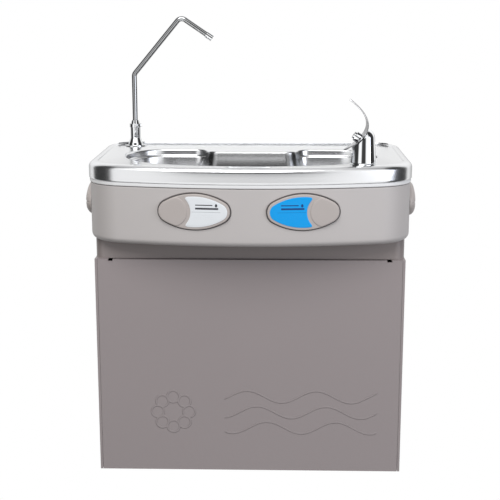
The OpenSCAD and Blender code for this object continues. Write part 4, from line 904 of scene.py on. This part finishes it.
# %% Caps, pads and labels on the front
def oval_rows(base, top, edge, inset, rings=10):
    """Rows of the cap: wall, quarter-round edge along the oval's true normals, then to the middle."""
    rows = [np.column_stack([oval(ANGLES, inset), np.full(len(ANGLES), base)])]
    for a in np.radians(np.linspace(0, 90, 7)):
        plan = oval(ANGLES, inset + edge * (1 - math.cos(a)))
        rows.append(np.column_stack([plan, np.full(len(ANGLES), top - edge * (1 - math.sin(a)))]))
    for t in np.linspace(1, 0, rings + 1)[1:]:
        rows.append(np.column_stack([rows[7][:, :2] * t, np.full(len(ANGLES), top)]))
    return np.array(rows)


FRONT_R = BASIN_BOW - HOUSING_IN
FRONT_TILT = math.asin(OVAL_X / FRONT_R)
FRONT_ORIGIN_Y = BASIN_BOW - FRONT - FRONT_R * math.cos(FRONT_TILT)
PRINT_SHIFT = 33 * MM


def front_button(side, word, label_word, label_finish):
    """Cap with its pad, and the label plate, on one front opening; side 1 mirrors the left plan."""
    node, body = f"front_{word}_button", f"front_{word}_actuator"
    place = (side * OVAL_X, FRONT_ORIGIN_Y, OVAL_Z), side * FRONT_TILT, -side
    cap = oval_rows(-1.2 * MM, CAP_OUT, 1.1 * MM, CAP_INSET)
    pad = raised(PAD_LINE, PAD_CENTRE, CAP_OUT - 0.4 * MM, CAP_OUT + 0.9 * MM, 0.6 * MM)
    parts = [skin(stand(rows, *place)) for rows in (cap, pad)]
    build(node + "_cap", parts, BUTTON, body, [node], sharp=50)
    rows = raised(LABEL_LINE, LABEL_CENTRE, CAP_OUT - 0.2 * MM, CAP_OUT + 0.45 * MM, 0.3 * MM, 4)
    plate = build(label_word + "_plate", [skin(stand(rows, *place))], label_finish, body,
                  [label_word + "_label"], weld=False, sharp=50)
    uv = plate.data.uv_layers.new(name="print")
    loops = np.empty(len(plate.data.loops), int)
    plate.data.loops.foreach_get("vertex_index", loops)
    plan = rows[..., :2].reshape(-1, 2)[loops]
    if side > 0:
        plan = plan * np.array([-1, 1]) + np.array([PRINT_SHIFT, 0])
    uv.data.foreach_set("uv", plan.ravel())


front_button(-1, "left", "ambient", WHITE_LABEL)
front_button(1, "right", "chilled", BLUE_LABEL)

# %% [markdown]
# ## The side buttons
#
# Each side has one larger button that bulges out well past the housing and has a groove across it. A
# flattened sphere would come to a soft edge. A power curve stays full nearly out to the rim and then
# falls steeply, which is how the moulded cap looks from in front.

# %% Side buttons
SIDE_OUT = 10 * MM
GROOVE_HALF, GROOVE_DEEP = 0.9 * MM, 1.6 * MM


def side_button(side, word):
    """A domed cap, out = 10 mm x (1 - s^7)^0.5 for s from the middle to the rim, with a groove across."""
    s = np.sin(np.linspace(math.pi / 2, 0, 28))
    plan = oval(ANGLES, CAP_INSET)[None] * s[:, None, None]
    out = SIDE_OUT * np.sqrt(np.clip(1 - s ** 7, 0, 1))[:, None] * np.ones(len(ANGLES))
    groove = np.exp(-(plan[..., 1] / GROOVE_HALF) ** 2) * GROOVE_DEEP
    out = np.maximum(out - groove * np.clip(out / SIDE_OUT, 0, 1), 0)
    low = np.column_stack([plan[0], np.full(len(ANGLES), -1.5 * MM)])[None]
    rows = np.concatenate([low, np.concatenate([plan, out[..., None]], -1)])
    at = (side * (HALF_W - HOUSING_IN), SIDE_OVAL_Y, OVAL_Z)
    build(f"{word}_side_cap", [skin(stand(rows, at, side * math.pi / 2, 1))], BUTTON,
          f"{word}_side_actuator", [f"{word}_side_button"], sharp=50)


side_button(-1, "left")
side_button(1, "right")

# %% [markdown]
# ## The bubbler's column and guard
#
# The bubbler is a chromed column with a slanting top, and a curved leaf keeps the drinker's mouth off
# its nozzle. A bent plane with a Solidify modifier has square edges, so the leaf is made of closed
# loops round its thickness. A cubic curve in the XZ plane gives its bend, and its half width follows
# sin(pi t) to a power, so both ends come to a blunt tip. The column is a cone with a rounded shoulder,
# and wherever the guard's curve runs lower than the cone does, the column stops at it.

# %% Guard curve
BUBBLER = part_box("bubbler_base")
BUBBLER_X = (BUBBLER[0].x + BUBBLER[1].x) / 2
BUBBLER_Y = (BUBBLER[0].y + BUBBLER[1].y) / 2
GUARD_POINTS = np.array([[-27, 20], [-3.7, 33.7], [28.7, 54.6], [-20, 91]]) * MM
GUARD_HALF_W, GUARD_T = 19 * MM, 1.8 * MM
COLUMN_FOOT, COLUMN_TOP, COLUMN_H, SHOULDER_Z = 18 * MM, 15.8 * MM, 51 * MM, 36 * MM
FLANGE_Z = 1.6 * MM


def guard_curve(t):
    """Cubic Bezier point (x, z) for t from 0 at the lower tip to 1 at the upper one."""
    t = np.asarray(t)[..., None]
    a, b, c, d = GUARD_POINTS
    return a * (1 - t) ** 3 + 3 * b * t * (1 - t) ** 2 + 3 * c * t ** 2 * (1 - t) + d * t ** 3


def guard_skin():
    """Closed loops round the leaf's thickness, one for each step along the curve."""
    t = np.linspace(0, 1, 81)
    mid = guard_curve(t)
    along = np.gradient(mid, axis=0)
    along /= np.linalg.norm(along, axis=-1, keepdims=True)
    normal = np.stack([along[:, 1], -along[:, 0]], -1)
    half = GUARD_HALF_W * np.sin(math.pi * np.clip(t, 0.006, 0.994)) ** 0.62
    v = np.linspace(-1, 1, 25)
    side = np.concatenate([v, v[::-1]])
    face = np.concatenate([np.ones(25), -np.ones(25)]) * np.sqrt(1 - side ** 8 * 0.96)
    cup = 0.9 * MM * side ** 2
    x = mid[:, :1] + normal[:, :1] * (face * GUARD_T / 2 - cup)
    z = mid[:, 1:] + normal[:, 1:] * (face * GUARD_T / 2 - cup)
    y = half[:, None] * side[None]
    ring = np.stack([x + BUBBLER_X, y + BUBBLER_Y, z + DECK_Z], -1)
    caps = ring[[0, -1]].mean(1, keepdims=True) * np.ones((1, ring.shape[1], 1))
    return np.concatenate([caps[:1], ring, caps[1:]])


build("guard_leaf", [skin(guard_skin())], SATIN_PAINTED_DARK, "cabinet", ["mouth_guard"], sharp=60)


# %% Column
def column_skin():
    """Rows of the column: its foot's edge, its side, then its top from the shoulder to the axis."""
    angle = np.linspace(0, 2 * math.pi, 128, endpoint=False)
    low = guard_curve(np.linspace(0, 0.6, 200))
    cut_x = np.maximum.accumulate(low[:, 0])

    def cut(x):
        """Height of the guard's underside over x, or far above where the guard has no low part."""
        z = np.interp(x, cut_x, low[:, 1]) - GUARD_T
        return np.where(x > cut_x[-1] - 0.5 * MM, 1.0, z)

    def dome(r):
        """Shoulder height + rise x (1 - (r / top radius)^2.4)^0.5."""
        s = np.clip(r / COLUMN_TOP, 0, 1)
        return SHOULDER_Z + (COLUMN_H - SHOULDER_Z) * np.sqrt(1 - s ** 2.4)

    rows = []
    for z in np.concatenate([[1.6, 1.9, 2.5], np.linspace(4, SHOULDER_Z / MM, 26)]) * MM:
        edge = 0.5 * MM * max(0.0, 1 - (z - FLANGE_Z) / (0.9 * MM))
        r = COLUMN_FOOT + (COLUMN_TOP - COLUMN_FOOT) * z / SHOULDER_Z - edge
        x = r * np.cos(angle)
        rows.append(np.stack([x, r * np.sin(angle), np.minimum(z, cut(x))], -1))
    for s in np.sin(np.linspace(math.pi / 2, 0, 36)):
        x = s * COLUMN_TOP * np.cos(angle)
        z = np.minimum(dome(s * COLUMN_TOP), cut(x))
        rows.append(np.stack([x, s * COLUMN_TOP * np.sin(angle), z], -1))
    bottom = np.stack([0 * angle, 0 * angle, 0 * angle + FLANGE_Z], -1)
    grid = np.array([bottom] + rows)
    return grid + np.array([BUBBLER_X, BUBBLER_Y, DECK_Z])


build("bubbler_column", [skin(column_skin())], CHROME, "cabinet", ["bubbler_body"], sharp=40)

# %% [markdown]
# ## The cup filler's tube
#
# The filler is a thin chromed tube with three straight stretches. A curve object with a bevel would do,
# but its corners have no stated radius. Here a ring of points is carried along straight stretches that
# are joined by arcs whose ends touch them, always in the plane of the bend, so it never twists.

# %% Bent path and tube
SPOUT_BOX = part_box("spout_base")
SPOUT_X = (SPOUT_BOX[0].x + SPOUT_BOX[1].x) / 2
SPOUT_Y = (SPOUT_BOX[0].y + SPOUT_BOX[1].y) / 2
TUBE_R, TUBE_BORE_R, TUBE_BEND_R = 4 * MM, 3 * MM, 9 * MM
TUBE_SIDES, BORE_SHIFT = 40, 21
RISE, PEAK, REACH = 112 * MM, 200 * MM, 121 * MM
LEAN, FALL = math.radians(40), math.radians(34)
PEAK_X = (PEAK - RISE) * math.tan(LEAN)
TUBE_CORNERS = np.array([[0, 34 * MM], [0, RISE], [PEAK_X, PEAK],
                         [REACH, PEAK - (REACH - PEAK_X) * math.tan(FALL)]])


def bent_path(corners, r, steps=14):
    """Points (x, z) of a path whose inner corners are rounded by arcs of radius r.

    An arc's centre lies r / sin(half the corner's angle) from the corner, on the line that halves it.
    """
    points = [corners[0]]
    for before, at, after in zip(corners, corners[1:], corners[2:]):
        u = (before - at) / np.linalg.norm(before - at)
        w = (after - at) / np.linalg.norm(after - at)
        half = math.acos(np.clip(u @ w, -1, 1)) / 2
        mid = (u + w) / np.linalg.norm(u + w)
        centre = at + mid * r / math.sin(half)
        start = at + u * r / math.tan(half) - centre
        end = at + w * r / math.tan(half) - centre
        turn = math.pi - 2 * half
        for t in np.linspace(0, 1, steps):
            spoke = start * math.sin((1 - t) * turn) + end * math.sin(t * turn)
            points.append(centre + spoke / math.sin(turn))
    points.append(corners[-1])
    return np.array(points)


def tube_skin(path, r):
    """Rings of radius r round the path's points; each ring's plane stands across the path."""
    along = np.gradient(path, axis=0)
    along /= np.linalg.norm(along, axis=-1, keepdims=True)
    across = np.stack([along[:, 1], -along[:, 0]], -1)
    a = np.linspace(0, 2 * math.pi, TUBE_SIDES, endpoint=False)
    x = path[:, :1] + across[:, :1] * r * np.cos(a)
    z = path[:, 1:] + across[:, 1:] * r * np.cos(a)
    y = r * np.sin(a) + 0 * x
    return np.stack([x + SPOUT_X, y + SPOUT_Y, z + DECK_Z], -1)


tube_path = bent_path(TUBE_CORNERS, TUBE_BEND_R)
outside = tube_skin(tube_path, TUBE_R)
bore = np.roll(tube_skin(tube_path[::-1], TUBE_BORE_R)[:, ::-1], -BORE_SHIFT, axis=1)
build("bent_filler_tube", [skin(np.concatenate([outside, bore]), wrap_rows=True)],
      TUBE_CHROME_PAINTED_DARK, "spout", ["spout_tube"], sharp=50)

# %% [markdown]
# ## The relief on the front panel
#
# The sheet is embossed with plain waves and a ring of circles, about a millimetre high. Cutting them
# into the mesh would change a CAD piece, so the relief is a height worked out from X and Z and given
# to a Bump node. The slopes at its edges are painted a little darker, as painted shade.

# %% Front panel paint with relief
WAVE_RATE, WAVE_HIGH, WAVE_Z, WAVE_GAP = 62.0, 9 * MM, -103 * MM, 24 * MM
RING_X, RING_Z, RING_R, CIRCLE_R = -112 * MM, -79 * MM, 23 * MM, 9 * MM
LINE_HALF, LINE_SOFT = 0.9 * MM, 0.7 * MM


def relief_height(f):
    """Three sine waves and eight circles in a ring: 1 on a line, falling to 0 over LINE_SOFT beside it."""
    x, y, z = f.axes(OBJECT)
    height = 0.0
    for row in range(3):
        wave = (x * WAVE_RATE + row * 0.9).math("SINE") * WAVE_HIGH + (WAVE_Z + row * WAVE_GAP)
        away = (wave - z).math("ABSOLUTE")
        strip = (1 - away.step(LINE_HALF, LINE_HALF + LINE_SOFT)) * between(x, -0.035, 0.185, 4 * MM)
        height = strip.math("MAXIMUM", height)
    for a in np.arange(8) * math.pi / 4:
        dx = x - (RING_X + RING_R * float(np.cos(a)))
        dz = z - (RING_Z + RING_R * float(np.sin(a)))
        away = ((dx * dx + dz * dz).math("SQRT") - CIRCLE_R).math("ABSOLUTE")
        height = height.math("MAXIMUM", 1 - away.step(LINE_HALF, LINE_HALF + LINE_SOFT))
    return height * (1 - y.step(-0.2389, -0.2380))


def relief_paint():
    """The cabinet's paint, with the relief in its bump and painted shade, a darker tone, on the relief's
    slopes.
    """
    name, color = "cabinet paint with relief", srgb(148, 139, 139)
    f = Finish(name, color, 0.42, 0.0, Coat_Weight=0.18, Coat_Roughness=0.25)
    orange, speckle, slow = f.noise(420.0, 2.0), f.noise(2600.0, 1.0), f.noise(7.0, 4.0)
    f.set("Roughness", 0.37 + 0.07 * orange + 0.08 * slow)
    plain = f.shade(0.5 * slow + 0.3 * speckle + 0.2 * orange, 0.95, 1.05)
    height = relief_height(f)
    # Painted shade: a darker base colour on the relief's slopes.
    painted_slope_shade = height * (1 - height) * 4
    f.set("Base Color", f.mix(painted_slope_shade * 0.30, plain, [c * 0.5 for c in color]))
    f.bump(height + 0.08 * orange, 1.1 * MM, 0.8)
    return f.material


RELIEF = relief_paint()
print("relief lines are", round(2 * LINE_HALF / MM, 1), "mm wide")

# %% [markdown]
# ## The camera
#
# The fountain is seen from a little above, by a long lens nearly straight in front, so that its
# upright edges stay almost parallel. The camera is placed by numbers instead of by a Track To
# constraint, because other views move it.

# %% Camera
LENS_MM, SENSOR_MM = 80.6, 36.0
LOOK_DOWN, LOOK_LEFT = 12.5, 1.45
camera_data = bpy.data.cameras.new("camera")
camera_data.sensor_width = SENSOR_MM
camera_data.lens = LENS_MM
camera = bpy.data.objects.new("camera", camera_data)
camera.location = (0.040, -1.794, 0.510)
camera.rotation_euler = (math.radians(90 - LOOK_DOWN), 0.0, math.radians(LOOK_LEFT))
bpy.context.scene.collection.objects.link(camera)
bpy.context.scene.camera = camera
print("camera", round(-camera.location.y, 2), "m in front of the wall")


# %% [markdown]
# ## The room and the lights
#
# A studio for chrome is mostly white with a few dark gaps: the gaps are what gives the tube and the
# column their hard stripes and the steel its dark corners. Dark cards could stand round the object as
# meshes, but they would shade it too. Here the world's colour follows a ray's bearing and height, the
# dark strips show in reflections alone, and two soft lamps light the plastic and the paint.

# %% The room's world
class Room(Finish):
    """The world's own node tree, made with the same node method as a finish."""

    def __init__(self, world):
        world.use_nodes = True
        self.nodes = world.node_tree.nodes
        self.links = world.node_tree.links
        self.background = self.nodes["Background"]


world = bpy.data.worlds.new("studio")
bpy.context.scene.world = world
room = Room(world)
# In a world, the first output of Texture Coordinate is the ray's direction.
DIRECTION = 0
ray_x, ray_y, ray_z = room.axes(DIRECTION)

# %% What reflections see
# Degrees of bearing: 0 is towards the camera, positive to the right and 180 at the wall.
SIDE_STRIPS, MIDDLE_STRIP = (50, 116), (-21, 18)
MIRROR_LEVEL = 1.36
bearing = ray_x.math("ARCTAN2", ray_y * -1.0) * (180 / math.pi)
aside = bearing.math("ABSOLUTE")
sides = between(aside, *SIDE_STRIPS, 7.0) * (1 - ray_z.step(0.84, 0.98)) * 0.96
middle = between(bearing, *MIDDLE_STRIP, 6.0) * between(ray_z, -0.10, 0.80, 0.04) * 0.95
low_wall = 0.16 * (1 - ray_z.step(0.20, 0.50)) + 0.40 * (1 - ray_z.step(0.02, 0.16))
behind = aside.step(120, 150) * low_wall
overhead = ray_z.step(0.55, 0.85) * 0.30
mirrored = (1 - sides) * (1 - middle) * (1 - behind) * (1 - overhead) * MIRROR_LEVEL

# %% What the paint and the camera see
lit = 0.20 + 0.30 * ray_z.step(-0.4, 0.8)
seen = room.nodes.new("ShaderNodeLightPath").outputs
level = lit + (mirrored - lit) * Value(room, seen["Is Glossy Ray"])
level = level + (1 - level) * Value(room, seen["Is Camera Ray"])
tone = room.node("ShaderNodeCombineColor", None, {0: level, 1: level, 2: level})
room.put(room.background.inputs["Color"], tone)
room.background.inputs["Strength"].default_value = 1.0
print("room nodes:", len(room.nodes))


# %% Lamps
def soft_light(name, place, target, size, power, color=(1, 1, 1)):
    """A square area light at place that faces target: tipped by atan2(distance aside, height)."""
    data = bpy.data.lights.new(name, "AREA")
    data.size = size
    data.energy = power
    data.color = color
    lamp = bpy.data.objects.new(name, data)
    x, y, z = np.array(place) - np.array(target)
    lamp.location = place
    lamp.rotation_euler = (math.atan2(math.hypot(x, y), z), 0, math.atan2(y, x) + math.pi / 2)
    bpy.context.scene.collection.objects.link(lamp)


soft_light("key", (-0.3, -1.7, 1.9), (0, -0.15, 0.1), 1.5, 40)
soft_light("fill", (1.7, -1.5, 0.5), (0, -0.15, 0.1), 1.0, 14, (0.86, 0.90, 1.0))
bpy.context.scene.view_settings.view_transform = "Standard"
print("key and fill lamps made")

# %% [markdown]
# ## Finishes for the pieces that keep their CAD shape
#
# Most inner pieces are right as they are and only need a finish. Each could be given one by hand, but
# every CAD node has a slot in the record, and one table from slots to finishes covers them all.

# %% Slots to finishes
SLOT_FINISH = {
    "steel": STEEL, "chrome": CHROME, "frame_plastic": FRAME_PLASTIC, "housing_plastic": HOUSING,
    "button_plastic": BUTTON, "bezel_plastic": BEZEL, "label_white": WHITE, "label_blue": BLUE,
    "cabinet_paint": CABINET, "neck_paint": NECK, "galvanised": ZINC, "brass": BRASS, "rubber": RUBBER,
    "black_plastic": BLACK, "white_plastic": WHITE, "hose_plastic": HOSE, "foam": FOAM,
    "tank_steel": TANK, "copper": COPPER, "black_enamel": ENAMEL, "aluminium": ALUMINIUM,
    "filter_plastic": BLUE, "screw_steel": SCREWS,
}
for row in frame["record"]["subparts"]:
    slots = NODES[row["node"]].data.materials
    slots.clear()
    slots.append(SLOT_FINISH[row["material_slot"]])
NODES["front_panel"].data.materials[0] = RELIEF
